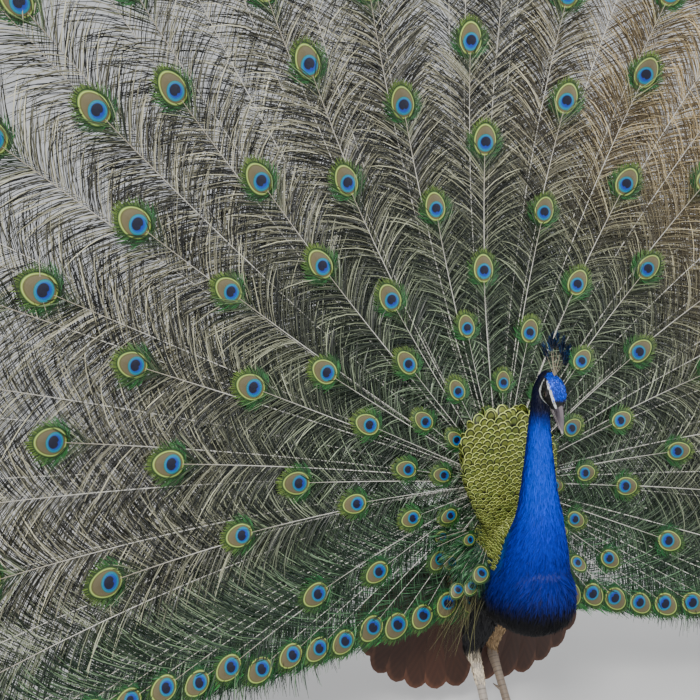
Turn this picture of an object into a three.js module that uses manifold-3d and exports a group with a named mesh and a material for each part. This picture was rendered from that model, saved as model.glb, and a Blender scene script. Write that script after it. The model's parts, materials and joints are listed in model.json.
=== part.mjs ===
// Indian peacock, life size, standing in full display with its train spread.
// Millimetres, +Z up. The bird faces -Y and its left side is +X.
import * as THREE from 'three';
import Module from 'manifold-3d';

const wasm = await Module();
wasm.setup();

// ---- driving dimensions ----
const GAP = 0.3;

const TRAIN_Z = 476;
const TRAIN_Y = 26;
const TRAIN_ROOT = 72;
const TRAIN_RADIUS = 1185;
const TRAIN_HALF_ANGLE = 160;
const TRAIN_LOBES = 45;
const TRAIN_SECTORS = 5;
const TRAIN_EDGE_DROP = 264;
const TRAIN_EDGE_SLOPE = 0.07;
const TRAIN_THICKNESS = 1.5;
const TRAIN_LEAN = 0.24;
const TRAIN_BEND = 0.00027;
const TRAIN_SIDE_BEND = 0.00016;
const LOBE_DEPTH = 66;

const TAIL_RADIUS = 430;
const TAIL_HALF_ANGLE = 78;
const TAIL_FEATHERS = 20;
const TAIL_THICKNESS = 2;

const HEAD = new THREE.Vector3(0, -168, 662);
const HEAD_PITCH = 60;
const HEAD_YAW = 4;
const EYE_RADIUS = 7.6;
const EYE_SIDE = 13.4;
const EYE_UP = 1;

const CREST_FEATHERS = 8;
const CREST_LENGTH = 68;
const CREST_FROM = -56;
const CREST_TO = 38;

const RIGHT_FOOT = new THREE.Vector3(-44, -50, 9);
const LEFT_FOOT = new THREE.Vector3(37, 24, 9);
const TOE_RADIUS = 5.6;
const TOE_CENTRE_Z = 3.7;
const MIDDLE_TOE = 68;
const INNER_TOE = 48;
const OUTER_TOE = 52;
const HIND_TOE = 24;
const CLAW_LENGTH = 13;
const SPUR_LENGTH = 22;

const PRIMARY_LENGTH = 290;
const PRIMARY_COUNT = 6;
const PRIMARY_THICKNESS = 2;

// ---- small tools ----
const deg = THREE.MathUtils.degToRad;
const vec = (x, y, z) => new THREE.Vector3(x, y, z);

// Catmull-Rom value at t (0..1) through evenly spaced numbers.
function curveValue(values, t) {
  const place = t * (values.length - 1);
  const i = Math.min(Math.floor(place), values.length - 2);
  const f = place - i;
  const at = (k) => values[THREE.MathUtils.clamp(k, 0, values.length - 1)];
  const [a, b, c, d] = [at(i - 1), at(i), at(i + 1), at(i + 2)];
  return b + 0.5 * f * (c - a + f * (2 * a - 5 * b + 4 * c - d + f * (3 * (b - c) + d - a)));
}

function indexed(points, faces) {
  const geometry = new THREE.BufferGeometry();
  geometry.setAttribute('position', new THREE.Float32BufferAttribute(points.flat(), 3));
  geometry.setIndex(faces.flat());
  return geometry;
}

// Turns the faces round if the body is inside out.
function outward(points, faces) {
  let volume = 0;
  for (const [a, b, c] of faces) {
    volume += vec(...points[a]).dot(vec(...points[b]).cross(vec(...points[c])));
  }
  return indexed(points, volume < 0 ? faces.map(([a, b, c]) => [a, c, b]) : faces);
}

// A closed body through egg-shaped stations [x, y, z, halfWidth, above, below]. "above" points
// to lateral x path. The ends are rounded by the cap lengths, through the ring angles given by
// round; extra grows the whole body.
function loft({ stations, steps, sides, caps, round = [45], lateral = vec(1, 0, 0), extra = 0 }) {
  const column = (k) => stations.map((s) => s[k]);
  const at = (t) => [0, 1, 2, 3, 4, 5].map((k) => curveValue(column(k), t));
  const rings = [];
  for (let i = 0; i <= steps; i += 1) {
    const t = i / steps;
    const here = at(t);
    const ahead = at(Math.min(t + 0.01, 1));
    const behind = at(Math.max(t - 0.01, 0));
    const along = vec(ahead[0] - behind[0], ahead[1] - behind[1], ahead[2] - behind[2]).normalize();
    rings.push({ centre: vec(here[0], here[1], here[2]), along, size: here.slice(3), shrink: 1 });
  }
  const rounded = (ring, cap, sign) => round.map((angle) => ({
    ...ring,
    centre: ring.centre.clone().addScaledVector(ring.along, sign * cap * Math.sin(deg(angle))),
    shrink: Math.cos(deg(angle)),
  }));
  const first = rings[0];
  const last = rings[rings.length - 1];
  const all = [...rounded(first, caps[0], -1).reverse(), ...rings, ...rounded(last, caps[1], 1)];
  const points = [];
  for (const ring of all) {
    const across = lateral.clone().addScaledVector(ring.along, -lateral.dot(ring.along)).normalize();
    const up = across.clone().cross(ring.along);
    for (let j = 0; j < sides; j += 1) {
      const angle = (2 * Math.PI * j) / sides;
      const height = Math.sin(angle) > 0 ? ring.size[1] : ring.size[2];
      const point = ring.centre.clone();
      point.addScaledVector(across, (ring.size[0] * ring.shrink + extra) * Math.cos(angle));
      point.addScaledVector(up, (height * ring.shrink + extra) * Math.sin(angle));
      points.push(point.toArray());
    }
  }
  points.push(first.centre.clone().addScaledVector(first.along, -caps[0] - extra).toArray());
  points.push(last.centre.clone().addScaledVector(last.along, caps[1] + extra).toArray());
  const faces = [];
  for (let i = 0; i < all.length - 1; i += 1) {
    for (let j = 0; j < sides; j += 1) {
      const next = (j + 1) % sides;
      faces.push([i * sides + j, (i + 1) * sides + j, (i + 1) * sides + next]);
      faces.push([i * sides + j, (i + 1) * sides + next, i * sides + next]);
    }
  }
  const end = (all.length - 1) * sides;
  for (let j = 0; j < sides; j += 1) {
    const next = (j + 1) % sides;
    faces.push([all.length * sides, j, next]);
    faces.push([all.length * sides + 1, end + next, end + j]);
  }
  return outward(points, faces);
}

// A sheet between a front and a back surface, from a grid of front points and a step back.
function sheet(grid, step) {
  const columns = grid.length;
  const rows = grid[0].length;
  const points = [];
  for (const line of grid) {
    for (const p of line) {
      points.push([p.x, p.y, p.z]);
    }
  }
  for (const line of grid) {
    for (const p of line) {
      points.push([p.x + step.x, p.y + step.y, p.z + step.z]);
    }
  }
  const back = columns * rows;
  const faces = [];
  const quad = (a, b, c, d) => faces.push([a, b, c], [a, c, d]);
  for (let i = 0; i < columns - 1; i += 1) {
    for (let j = 0; j < rows - 1; j += 1) {
      const a = i * rows + j;
      quad(a, a + 1, a + rows + 1, a + rows);
      quad(back + a, back + a + rows, back + a + rows + 1, back + a + 1);
    }
    const low = i * rows;
    const high = low + rows - 1;
    quad(low, low + rows, back + low + rows, back + low);
    quad(high, back + high, back + high + rows, high + rows);
  }
  for (let j = 0; j < rows - 1; j += 1) {
    const end = (columns - 1) * rows + j;
    quad(j, back + j, back + j + 1, j + 1);
    quad(end, end + 1, back + end + 1, back + end);
  }
  return outward(points, faces);
}

function toManifold(geometry) {
  const vertProperties = new Float32Array(geometry.attributes.position.array);
  const triVerts = new Uint32Array(geometry.index.array);
  return new wasm.Manifold(new wasm.Mesh({ numProp: 3, vertProperties, triVerts }));
}

function fromManifold(solid) {
  const mesh = solid.getMesh();
  const geometry = new THREE.BufferGeometry();
  geometry.setAttribute('position', new THREE.BufferAttribute(mesh.vertProperties, 3));
  geometry.setIndex(new THREE.BufferAttribute(mesh.triVerts, 1));
  return geometry;
}

const joined = (shapes) => fromManifold(shapes.map(toManifold).reduce((a, b) => a.add(b)));
const without = (shape, tools) => fromManifold(
  tools.reduce((rest, tool) => rest.subtract(toManifold(tool)), toManifold(shape)),
);

// Copy of a shape with its +X and -X sides exchanged.
function mirrored(geometry) {
  const copy = geometry.clone().scale(-1, 1, 1);
  const index = copy.index.array;
  for (let i = 0; i < index.length; i += 3) {
    [index[i + 1], index[i + 2]] = [index[i + 2], index[i + 1]];
  }
  return copy;
}

// ---- trunk, neck and back ----
const trunkShape = (extra) => loft({
  stations: [
    [0, -172, 302, 48, 50, 48],
    [0, -138, 303, 68, 84, 70],
    [0, -88, 305, 75, 112, 83],
    [0, -34, 309, 76, 124, 87],
    [0, 20, 317, 73, 121, 84],
    [0, 70, 337, 60, 99, 66],
    [0, 108, 364, 36, 62, 38],
  ],
  steps: 8,
  sides: 16,
  caps: [18, 18],
  round: [30, 60],
  extra,
});

const neckShape = (extra) => loft({
  stations: [
    [0, -98, 300, 66, 56, 58],
    [0, -106, 346, 66, 64, 62],
    [0, -119, 394, 55, 54, 56],
    [0, -126, 440, 42.5, 41, 44],
    [0, -124, 488, 33.5, 32, 34],
    [0, -123, 536, 27.5, 26, 27.5],
    [0, -122, 584, 22.3, 21, 22.5],
    [0, -125, 628, 18.8, 17, 21.5],
    [0, -132, 662, 19, 16, 21],
    [0, -146, 690, 16, 11, 14],
  ],
  steps: 9,
  sides: 12,
  caps: [8, 6],
  extra,
});

const backShape = (extra) => loft({
  stations: [
    [0, -46, 392, 58, 20, 14],
    [0, -36, 436, 80, 26, 18],
    [0, -24, 484, 95, 26, 18],
    [0, -13, 534, 100, 21, 14],
    [0, -5, 580, 86, 14, 10],
    [0, 0, 606, 54, 9, 7],
  ],
  steps: 6,
  sides: 12,
  caps: [10, 10],
  extra,
});

// ---- head, in its own frame: x to the side, y forward along the bill, z to the crown ----
const headFrame = new THREE.Matrix4()
  .makeTranslation(HEAD.x, HEAD.y, HEAD.z)
  .multiply(new THREE.Matrix4().makeRotationZ(deg(180 + HEAD_YAW)))
  .multiply(new THREE.Matrix4().makeRotationX(deg(-HEAD_PITCH)));
const onHead = (geometry) => geometry.applyMatrix4(headFrame);

const headShape = (extra) => onHead(loft({
  stations: [
    [0, -29, 1, 12.5, 12.5, 13],
    [0, -18, 1, 18.5, 18.5, 19],
    [0, -5, 1.5, 20.5, 20.5, 20.5],
    [0, 8, 1.5, 18.8, 18.6, 19],
    [0, 18, 0, 15, 14.6, 15.5],
    [0, 26, -3, 11, 11, 11.5],
  ],
  steps: 6,
  sides: 12,
  caps: [8, 5],
  extra,
}));

const upperBillShape = (extra) => onHead(loft({
  stations: [
    [0, 22, -5, 9.6, 15.6, 1.6],
    [0, 34, -5.4, 8, 12.4, 1.6],
    [0, 46, -6, 6, 9, 1.5],
    [0, 56, -7.6, 4.2, 6, 1.4],
    [0, 64, -10.2, 2.3, 3.4, 1.3],
  ],
  steps: 5,
  sides: 10,
  caps: [2, 5],
  extra,
}));

const lowerBillShape = (extra) => onHead(loft({
  stations: [
    [0, 20, -9.4, 9, 2, 6],
    [0, 34, -9.4, 7.4, 1.8, 5],
    [0, 46, -10, 5.2, 1.6, 4],
    [0, 57, -12, 2.6, 1.2, 2.2],
  ],
  steps: 4,
  sides: 10,
  caps: [2, 3],
  extra,
}));

function eyeShape(side, extra) {
  const ball = loft({
    stations: [
      [0, -3.8, 0, 6.582, 6.582, 6.582],
      [0, 0, 0, EYE_RADIUS, EYE_RADIUS, EYE_RADIUS],
      [0, 3.8, 0, 6.582, 6.582, 6.582],
    ],
    steps: 2,
    sides: 8,
    caps: [3.8, 3.8],
    extra,
  });
  return onHead(ball.translate(side * EYE_SIDE, 0, EYE_UP));
}

// The crest: bare shafts spread like a fan in the middle plane of the head, each with a small
// vane at its end, all rising from one root on the crown.
function crestShape() {
  const crown = vec(0, -25, 15).applyMatrix4(headFrame);
  const yaw = deg(HEAD_YAW);
  const shapes = [];
  for (let i = 0; i < CREST_FEATHERS; i += 1) {
    const f = i / (CREST_FEATHERS - 1);
    const lean = deg(CREST_FROM + (CREST_TO - CREST_FROM) * f);
    const out = vec(-Math.sin(yaw) * Math.sin(lean), Math.cos(yaw) * Math.sin(lean), Math.cos(lean));
    const length = CREST_LENGTH * (0.72 + 0.28 * Math.sin(Math.PI * f));
    const at = (d) => crown.clone().addScaledVector(out, d).toArray();
    shapes.push(loft({
      stations: [
        [...at(-3), 0.9, 0.9, 0.9],
        [...at(length * 0.36), 0.7, 0.7, 0.7],
        [...at(length * 0.72), 0.7, 0.8, 0.8],
        [...at(length * 0.88), 1.6, 6, 6],
        [...at(length * 0.98), 1, 4, 4],
      ],
      steps: 4,
      sides: 4,
      caps: [0.5, 1.5],
      round: [],
    }));
  }
  shapes.push(loft({
    stations: [
      [crown.x, crown.y - 1, crown.z - 3, 4, 5, 5],
      [crown.x, crown.y - 1, crown.z + 1, 3.4, 4.4, 4.4],
    ],
    steps: 1,
    sides: 8,
    caps: [2, 2.4],
  }));
  return joined(shapes);
}

// ---- wings ----
// The closed part of the wing lies on the flank; the flight feathers hang below it.
const wingShape = (extra) => loft({
  stations: [
    [-62, -74, 340, 8, 20, 20],
    [-76, -34, 338, 10, 44, 42],
    [-79, 18, 334, 10, 52, 52],
    [-76, 62, 332, 8, 44, 46],
    [-68, 98, 338, 4, 24, 28],
  ],
  steps: 6,
  sides: 8,
  caps: [8, 6],
  extra,
});

function primariesShape() {
  const root = vec(-92, 62, 336);
  const columns = PRIMARY_COUNT * 2;
  const grid = [];
  for (let i = 0; i <= columns; i += 1) {
    const f = i / columns;
    const angle = deg(-13 + 56 * f);
    const tooth = [0.94, 1][i % 2];
    const full = PRIMARY_LENGTH * tooth * (1 - 0.25 * f * f);
    const line = [0.16, 0.55, 1].map((s) => {
      const d = s * full;
      return vec(root.x - d * Math.sin(angle), root.y + 0.25 * d, root.z - d * Math.cos(angle));
    });
    grid.push(line);
  }
  return sheet(grid, vec(0, PRIMARY_THICKNESS, 0));
}

// ---- legs ----
const rightLeg = {
  foot: RIGHT_FOOT,
  hip: vec(-36, -8, 296),
  knee: vec(-35, 14, 234),
  shin: vec(-41, 40, 168),
  ankle: vec(-41, 22, 126),
};
const leftLeg = {
  foot: LEFT_FOOT,
  hip: vec(36, 40, 300),
  knee: vec(37, 72, 234),
  shin: vec(38, 108, 160),
  ankle: vec(37, 108, 116),
};

const thighShape = (leg, extra) => loft({
  stations: [
    [...leg.hip.toArray(), 27, 40, 40],
    [...leg.knee.toArray(), 28, 38, 38],
    [...leg.shin.toArray(), 21, 23, 23],
    [...leg.shin.clone().lerp(leg.ankle, 0.75).toArray(), 11.5, 12, 12],
  ],
  steps: 5,
  sides: 10,
  caps: [6, 5],
  extra,
});

const shankShape = (leg, extra) => {
  const at = (t) => leg.ankle.clone().lerp(leg.foot, t).toArray();
  return loft({
    stations: [
      [...leg.ankle.clone().lerp(leg.shin, 0.4).toArray(), 7, 8, 8],
      [...at(0), 9.8, 10.6, 10.6],
      [...at(0.25), 7.6, 8.6, 8.6],
      [...at(0.6), 7.2, 8, 8],
      [...at(0.85), 7.6, 8, 8],
      [...at(1), 9, 8, 8],
    ],
    steps: 5,
    sides: 6,
    caps: [4, 3],
    round: [],
    extra,
  });
};

const toeList = [
  { name: 'middle', turn: 0, length: MIDDLE_TOE, radius: TOE_RADIUS, lift: 0 },
  { name: 'inner', turn: -34, length: INNER_TOE, radius: TOE_RADIUS - 0.4, lift: 0 },
  { name: 'outer', turn: 32, length: OUTER_TOE, radius: TOE_RADIUS - 0.4, lift: 0 },
  { name: 'hind', turn: 186, length: HIND_TOE, radius: TOE_RADIUS - 0.4, lift: 3 },
];

// Heading of a toe; inner toes turn towards the other foot.
function toeHeading(leg, toe) {
  const turn = deg(toe.turn) * Math.sign(leg.foot.x);
  return vec(Math.sin(turn), -Math.cos(turn), 0);
}

// A toe with its joints as low swellings; the hind toe slopes down from the shank.
function toeShape(leg, toe, extra) {
  const heading = toeHeading(leg, toe);
  const root = vec(leg.foot.x, leg.foot.y, TOE_CENTRE_Z + 1 + toe.lift);
  const at = (t) => root.clone().addScaledVector(heading, toe.length * t);
  const stations = [];
  for (const [t, swell] of [[0, 1.25], [0.3, 0.92], [0.5, 1.05], [0.7, 0.88], [0.86, 1], [0.96, 0.88]]) {
    const p = at(t);
    p.z = TOE_CENTRE_Z + toe.lift * (1 - t);
    const r = toe.radius * swell;
    stations.push([...p.toArray(), r, r, r]);
  }
  return loft({
    stations,
    steps: 4,
    sides: 6,
    caps: [3, 2.5],
    lateral: vec(-heading.y, heading.x, 0),
    extra,
  });
}

function footShape(leg, extra) {
  const foot = joined(toeList.map((toe) => toeShape(leg, toe, extra)));
  const below = new THREE.BoxGeometry(400, 400, 100).translate(leg.foot.x, leg.foot.y, -50 - extra);
  return without(foot, [weld(below)]);
}

// Shares the corners of a box, so that it is one closed surface.
function weld(geometry) {
  const p = geometry.attributes.position;
  const points = [];
  const seen = new Map();
  const remap = [];
  for (let i = 0; i < p.count; i += 1) {
    const key = [p.getX(i), p.getY(i), p.getZ(i)].map((v) => v.toFixed(4)).join();
    if (!seen.has(key)) {
      seen.set(key, points.length);
      points.push([p.getX(i), p.getY(i), p.getZ(i)]);
    }
    remap.push(seen.get(key));
  }
  const faces = [];
  for (let i = 0; i < geometry.index.count; i += 3) {
    faces.push([0, 1, 2].map((k) => remap[geometry.index.array[i + k]]));
  }
  return outward(points, faces);
}

function clawShape(leg, toe) {
  const heading = toeHeading(leg, toe);
  const start = vec(leg.foot.x, leg.foot.y, 0).addScaledVector(heading, toe.length * 0.9);
  const base = TOE_CENTRE_Z;
  const stations = [[0, 0.6, 3.2], [0.4, 0.9, 2.8], [0.75, 0, 1.9], [1, -2, 0.8]].map(([t, rise, r]) => {
    const p = start.clone().addScaledVector(heading, (CLAW_LENGTH + 4) * t);
    return [p.x, p.y, base + rise, r * 0.8, r, r * 0.8];
  });
  return loft({
    stations,
    steps: 2,
    sides: 5,
    caps: [1, 1],
    round: [],
    lateral: vec(-heading.y, heading.x, 0),
  });
}

function spurShape(leg) {
  const start = leg.ankle.clone().lerp(leg.foot, 0.6);
  const inward = -Math.sign(leg.foot.x);
  const stations = [[0, 4], [0.35, 3.3], [0.7, 2.1], [1, 0.8]].map(([t, r]) => [
    start.x + inward * 9 * t,
    start.y + 7 + SPUR_LENGTH * t,
    start.z + 5 + 5 * t * t,
    r,
    r,
    r,
  ]);
  return loft({ stations, steps: 2, sides: 6, caps: [1, 1], round: [] });
}

// ---- tail and train ----
const tailShape = () => {
  const columns = TAIL_FEATHERS * 2;
  const grid = [];
  for (let i = 0; i <= columns; i += 1) {
    const angle = deg(-TAIL_HALF_ANGLE + (2 * TAIL_HALF_ANGLE * i) / columns);
    const tooth = [0.95, 1][i % 2];
    const full = TAIL_RADIUS * tooth * (1 - 0.1 * (angle / deg(TAIL_HALF_ANGLE)) ** 2);
    grid.push([0.14, 0.55, 1].map((s) => {
      const d = s * full;
      const back = 54 + 0.16 * d - 0.0001 * d * d;
      return vec(d * Math.sin(angle), back, TRAIN_Z - 26 + d * Math.cos(angle));
    }));
  }
  return sheet(grid, vec(0, TAIL_THICKNESS, 0));
};

const undertailShape = (extra) => loft({
  stations: [
    [0, 94, 382, 38, 26, 30],
    [0, 98, 440, 62, 24, 30],
    [0, 108, 496, 72, 20, 24],
    [0, 120, 546, 56, 13, 16],
    [0, 128, 582, 30, 8, 9],
  ],
  steps: 4,
  sides: 10,
  caps: [14, 8],
  extra,
});

// Length of the train from its root at an angle from upright: a round fan above, and level
// along its lower edges.
function trainReach(angle) {
  const fall = -Math.cos(angle) - TRAIN_EDGE_SLOPE * Math.abs(Math.sin(angle));
  const level = TRAIN_EDGE_DROP / Math.max(fall, 0.02);
  return (TRAIN_RADIUS ** -8 + level ** -8) ** (-1 / 8);
}

function trainPoint(angle, d) {
  const side = Math.sin(angle) ** 2;
  const bend = TRAIN_BEND + TRAIN_SIDE_BEND * side;
  const lean = TRAIN_LEAN * (0.72 + 0.28 * Math.cos(angle));
  const y = TRAIN_Y + lean * d - bend * d * d;
  return vec(d * Math.sin(angle), y, TRAIN_Z + d * Math.cos(angle));
}

function trainSector(index) {
  const perSector = TRAIN_LOBES / TRAIN_SECTORS;
  const columns = perSector * 3;
  const step = (2 * TRAIN_HALF_ANGLE) / (TRAIN_LOBES * 3);
  const start = -TRAIN_HALF_ANGLE + index * columns * step;
  const grid = [];
  for (let i = 0; i <= columns; i += 1) {
    const angle = deg(start + i * step);
    const tip = trainReach(angle);
    const deep = LOBE_DEPTH * (tip / TRAIN_RADIUS) ** 1.6;
    const last = i % 3 === 0 ? tip - deep : tip;
    const inner = tip - deep * 1.25;
    const reach = [0, 0.36, 0.7, 1].map((s) => TRAIN_ROOT + (inner - TRAIN_ROOT) * s);
    const inset = { 0: 1, [columns]: -1 }[i] ?? 0;
    grid.push([...reach, last].map((d) => trainPoint(angle + (inset * GAP) / 2 / d, d)));
  }
  return sheet(grid, vec(0, TRAIN_THICKNESS, 0));
}

// ---- assembly ----
const group = new THREE.Group();

function put(name, geometry, colour, roughness, metalness = 0) {
  const material = new THREE.MeshStandardMaterial({ color: colour, roughness, metalness });
  const plain = geometry.index ? geometry.toNonIndexed() : geometry;
  plain.computeVertexNormals();
  const mesh = new THREE.Mesh(plain, material);
  mesh.name = name;
  group.add(mesh);
}

const BLUE = 0x1238a8;
const GOLD_GREEN = 0x7f8a2c;
const TRAIN_GREEN = 0x4f6a2a;
const RUFOUS = 0x9c5a2c;
const HORN = 0x9a8f86;
const SKIN = 0x8d857c;
const DARK = 0x2a241f;

const legs = [['right', rightLeg], ['left', leftLeg]];
const wingLeft = (extra) => mirrored(wingShape(extra));
const trunkGrown = trunkShape(GAP);

put('trunk', trunkShape(0), BLUE, 0.55);
put('neck', without(neckShape(0), [trunkGrown, headShape(GAP)]), BLUE, 0.5);
put('back_scales', without(backShape(0), [trunkGrown, neckShape(GAP)]), GOLD_GREEN, 0.5, 0.2);
put('head', without(headShape(0), [
  upperBillShape(GAP),
  lowerBillShape(GAP),
  eyeShape(-1, GAP),
  eyeShape(1, GAP),
]), BLUE, 0.6);
put('bill_upper', upperBillShape(0), HORN, 0.45);
put('bill_lower', without(lowerBillShape(0), [upperBillShape(GAP)]), HORN, 0.45);
put('eye_right', eyeShape(1, 0), DARK, 0.1);
put('eye_left', eyeShape(-1, 0), DARK, 0.1);
put('crest', without(crestShape(), [headShape(GAP)]), 0x1d4aa0, 0.6);

put('wing_right', without(wingShape(0), [trunkGrown, neckShape(GAP)]), 0x6b5a44, 0.7);
put('wing_left', without(wingLeft(0), [trunkGrown, neckShape(GAP)]), 0x6b5a44, 0.7);
const primaryTools = [trunkGrown, wingShape(GAP), thighShape(rightLeg, GAP), shankShape(rightLeg, GAP)];
const primaryToolsLeft = [trunkGrown, wingLeft(GAP), thighShape(leftLeg, GAP), shankShape(leftLeg, GAP)];
put('primaries_right', without(primariesShape(), primaryTools), RUFOUS, 0.75);
put('primaries_left', without(mirrored(primariesShape()), primaryToolsLeft), RUFOUS, 0.75);

for (const [side, leg] of legs) {
  const wing = side === 'right' ? wingShape(GAP) : wingLeft(GAP);
  put(`thigh_${side}`, without(thighShape(leg, 0), [trunkGrown, wing, shankShape(leg, GAP)]), 0x8a7a66, 0.8);
  put(`shank_${side}`, without(shankShape(leg, 0), [footShape(leg, GAP)]), SKIN, 0.6);
  put(`foot_${side}`, footShape(leg, 0), SKIN, 0.6);
  put(`spur_${side}`, without(spurShape(leg), [shankShape(leg, GAP)]), HORN, 0.4);
  for (const toe of toeList) {
    put(`claw_${toe.name}_${side}`, without(clawShape(leg, toe), [footShape(leg, GAP)]), DARK, 0.4);
  }
}

put('tail', without(tailShape(), [trunkGrown, undertailShape(GAP)]), 0x77695a, 0.8);
put('undertail', without(undertailShape(0), [trunkGrown]), 0x5c544c, 0.9);

const sectorNames = ['right_low', 'right_high', 'top', 'left_high', 'left_low'];
const trainTools = [
  trunkGrown,
  wingShape(GAP),
  wingLeft(GAP),
  backShape(GAP),
  thighShape(rightLeg, GAP),
  thighShape(leftLeg, GAP),
];
sectorNames.forEach((name, i) => {
  put(`train_${name}`, without(trainSector(i), trainTools), TRAIN_GREEN, 0.6, 0.1);
});

// The origin is the middle of the base.
const box = new THREE.Box3().setFromObject(group);
const middle = box.getCenter(new THREE.Vector3());
group.children.forEach((mesh) => mesh.geometry.translate(-middle.x, -middle.y, -box.min.z));

export default group;
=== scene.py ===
"""Looks of a life-size Indian peacock standing in full display."""

import itertools
import json
import math

import bmesh
import bpy
import numpy as np
from mathutils import Matrix, Vector
from mathutils.kdtree import KDTree

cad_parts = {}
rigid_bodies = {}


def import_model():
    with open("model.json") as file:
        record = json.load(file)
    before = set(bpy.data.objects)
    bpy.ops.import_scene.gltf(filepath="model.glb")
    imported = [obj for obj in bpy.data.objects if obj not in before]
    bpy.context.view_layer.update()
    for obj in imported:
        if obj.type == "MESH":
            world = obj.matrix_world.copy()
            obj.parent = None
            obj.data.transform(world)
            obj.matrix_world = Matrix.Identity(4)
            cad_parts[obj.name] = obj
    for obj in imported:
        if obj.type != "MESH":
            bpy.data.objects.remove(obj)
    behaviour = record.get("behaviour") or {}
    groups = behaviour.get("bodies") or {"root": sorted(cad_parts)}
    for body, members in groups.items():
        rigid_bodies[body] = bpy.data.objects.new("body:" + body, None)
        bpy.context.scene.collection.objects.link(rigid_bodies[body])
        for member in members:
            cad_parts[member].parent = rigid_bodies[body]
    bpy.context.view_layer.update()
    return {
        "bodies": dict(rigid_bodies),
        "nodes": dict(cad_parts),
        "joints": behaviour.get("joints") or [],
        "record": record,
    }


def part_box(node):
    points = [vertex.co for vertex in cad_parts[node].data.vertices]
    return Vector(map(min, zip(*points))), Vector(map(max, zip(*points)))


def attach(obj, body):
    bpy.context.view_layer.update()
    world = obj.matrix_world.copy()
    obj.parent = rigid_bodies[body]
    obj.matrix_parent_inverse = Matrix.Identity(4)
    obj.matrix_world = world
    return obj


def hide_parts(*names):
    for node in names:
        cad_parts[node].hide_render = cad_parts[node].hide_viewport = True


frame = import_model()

# ---------------------------------------------------------------- sizes, in metres
# The working frame has its middle plane at x = 0 and the floor at z = 0; the bird faces -y.
TRAIN_Z, TRAIN_Y, TRAIN_RADIUS = 0.476, 0.026, 1.185
TRAIN_EDGE_DROP, TRAIN_EDGE_SLOPE = 0.264, 0.07
TRAIN_LEAN, TRAIN_BEND, TRAIN_SIDE_BEND = 0.24, 0.27, 0.16
TRAIN_LOBES, TRAIN_HALF_ANGLE = 45, math.radians(160)

HEAD_AT, HEAD_PITCH, HEAD_YAW = (0.0, -0.168, 0.662), 60, 4
HEAD = (
    Matrix.Translation(HEAD_AT)
    @ Matrix.Rotation(math.radians(180 + HEAD_YAW), 4, "Z")
    @ Matrix.Rotation(math.radians(-HEAD_PITCH), 4, "X")
)
EYE = (0.0134, 0.0, 0.001)

eye_low, eye_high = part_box("eye_right")
OFFSET = (eye_low.y + eye_high.y) / 2 - (HEAD @ Vector(EYE)).y


def middles(n):
    """The middles of n equal shares of 0 to 1."""
    return (np.arange(n) + 0.5) / n


def srgb(red, green, blue):
    """Linear colour of an 8-bit display colour."""
    share = np.array([red, green, blue], float) / 255
    return np.where(share <= 0.04045, share / 12.92, ((share + 0.055) / 1.055) ** 2.4)


def unit(v):
    return v / np.maximum(np.linalg.norm(v, axis=-1, keepdims=True), 1e-12)


def level(v, normal):
    """Unit vectors (n, 3) along v, less its part along the normal."""
    return unit(v - normal * (v * normal).sum(1)[:, None])


def side_of(path, face):
    """Directions across paths (n, k, 3) that lie at right angles to the face direction."""
    direction = unit(np.gradient(path, axis=1))
    return np.cross(np.broadcast_to(face, direction.shape), direction)


def smooth(low, high, x):
    s = np.clip((x - low) / (high - low), 0, 1)
    return s * s * (3 - 2 * s)


def mix(a, b, share):
    share = np.asarray(share)[..., None]
    return a * (1 - share) + b * share


# ---------------------------------------------------------------- camera, floor and light
scene = bpy.context.scene
world = bpy.data.worlds.new("studio")
scene.world = world
world.use_nodes = True
world.node_tree.nodes["Background"].inputs[0].default_value = (0.80, 0.82, 0.85, 1)
world.node_tree.nodes["Background"].inputs[1].default_value = 0.85

heading, pitch, reach_back, aside, height = math.radians(20), 4.0, 1.86, 0.2818, 0.854
ahead = Vector((math.sin(heading), math.cos(heading), 0))
right = Vector((math.cos(heading), -math.sin(heading), 0))
camera = bpy.data.objects.new("camera", bpy.data.cameras.new("camera"))
scene.collection.objects.link(camera)
camera.location = Vector((0, OFFSET + 0.0087, 0)) - ahead * reach_back - right * aside
camera.location.z = height
look = ahead * math.cos(math.radians(pitch)) - Vector((0, 0, math.sin(math.radians(pitch))))
camera.rotation_euler = look.to_track_quat("-Z", "Y").to_euler()
camera.data.sensor_width = 36
camera.data.lens = 52.2
camera.data.clip_start = 0.05
scene.camera = camera


def area_light(name, place, target, size, power, colour):
    lamp = bpy.data.objects.new(name, bpy.data.lights.new(name, "AREA"))
    lamp.data.size = size
    lamp.data.energy = power
    lamp.data.color = colour
    lamp.location = place
    lamp.rotation_euler = (Vector(target) - Vector(place)).to_track_quat("-Z", "Y").to_euler()
    scene.collection.objects.link(lamp)


area_light("key", (-1.9, -2.6, 2.6), (0, 0, 0.6), 1.0, 120, (1, 0.97, 0.93))
area_light("fill", (2.6, -2.0, 1.6), (0, 0, 0.7), 2.0, 30, (0.93, 0.96, 1))
area_light("rim", (1.2, 2.6, 2.4), (0, 0, 0.8), 1.6, 40, (1, 0.97, 0.92))


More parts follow.
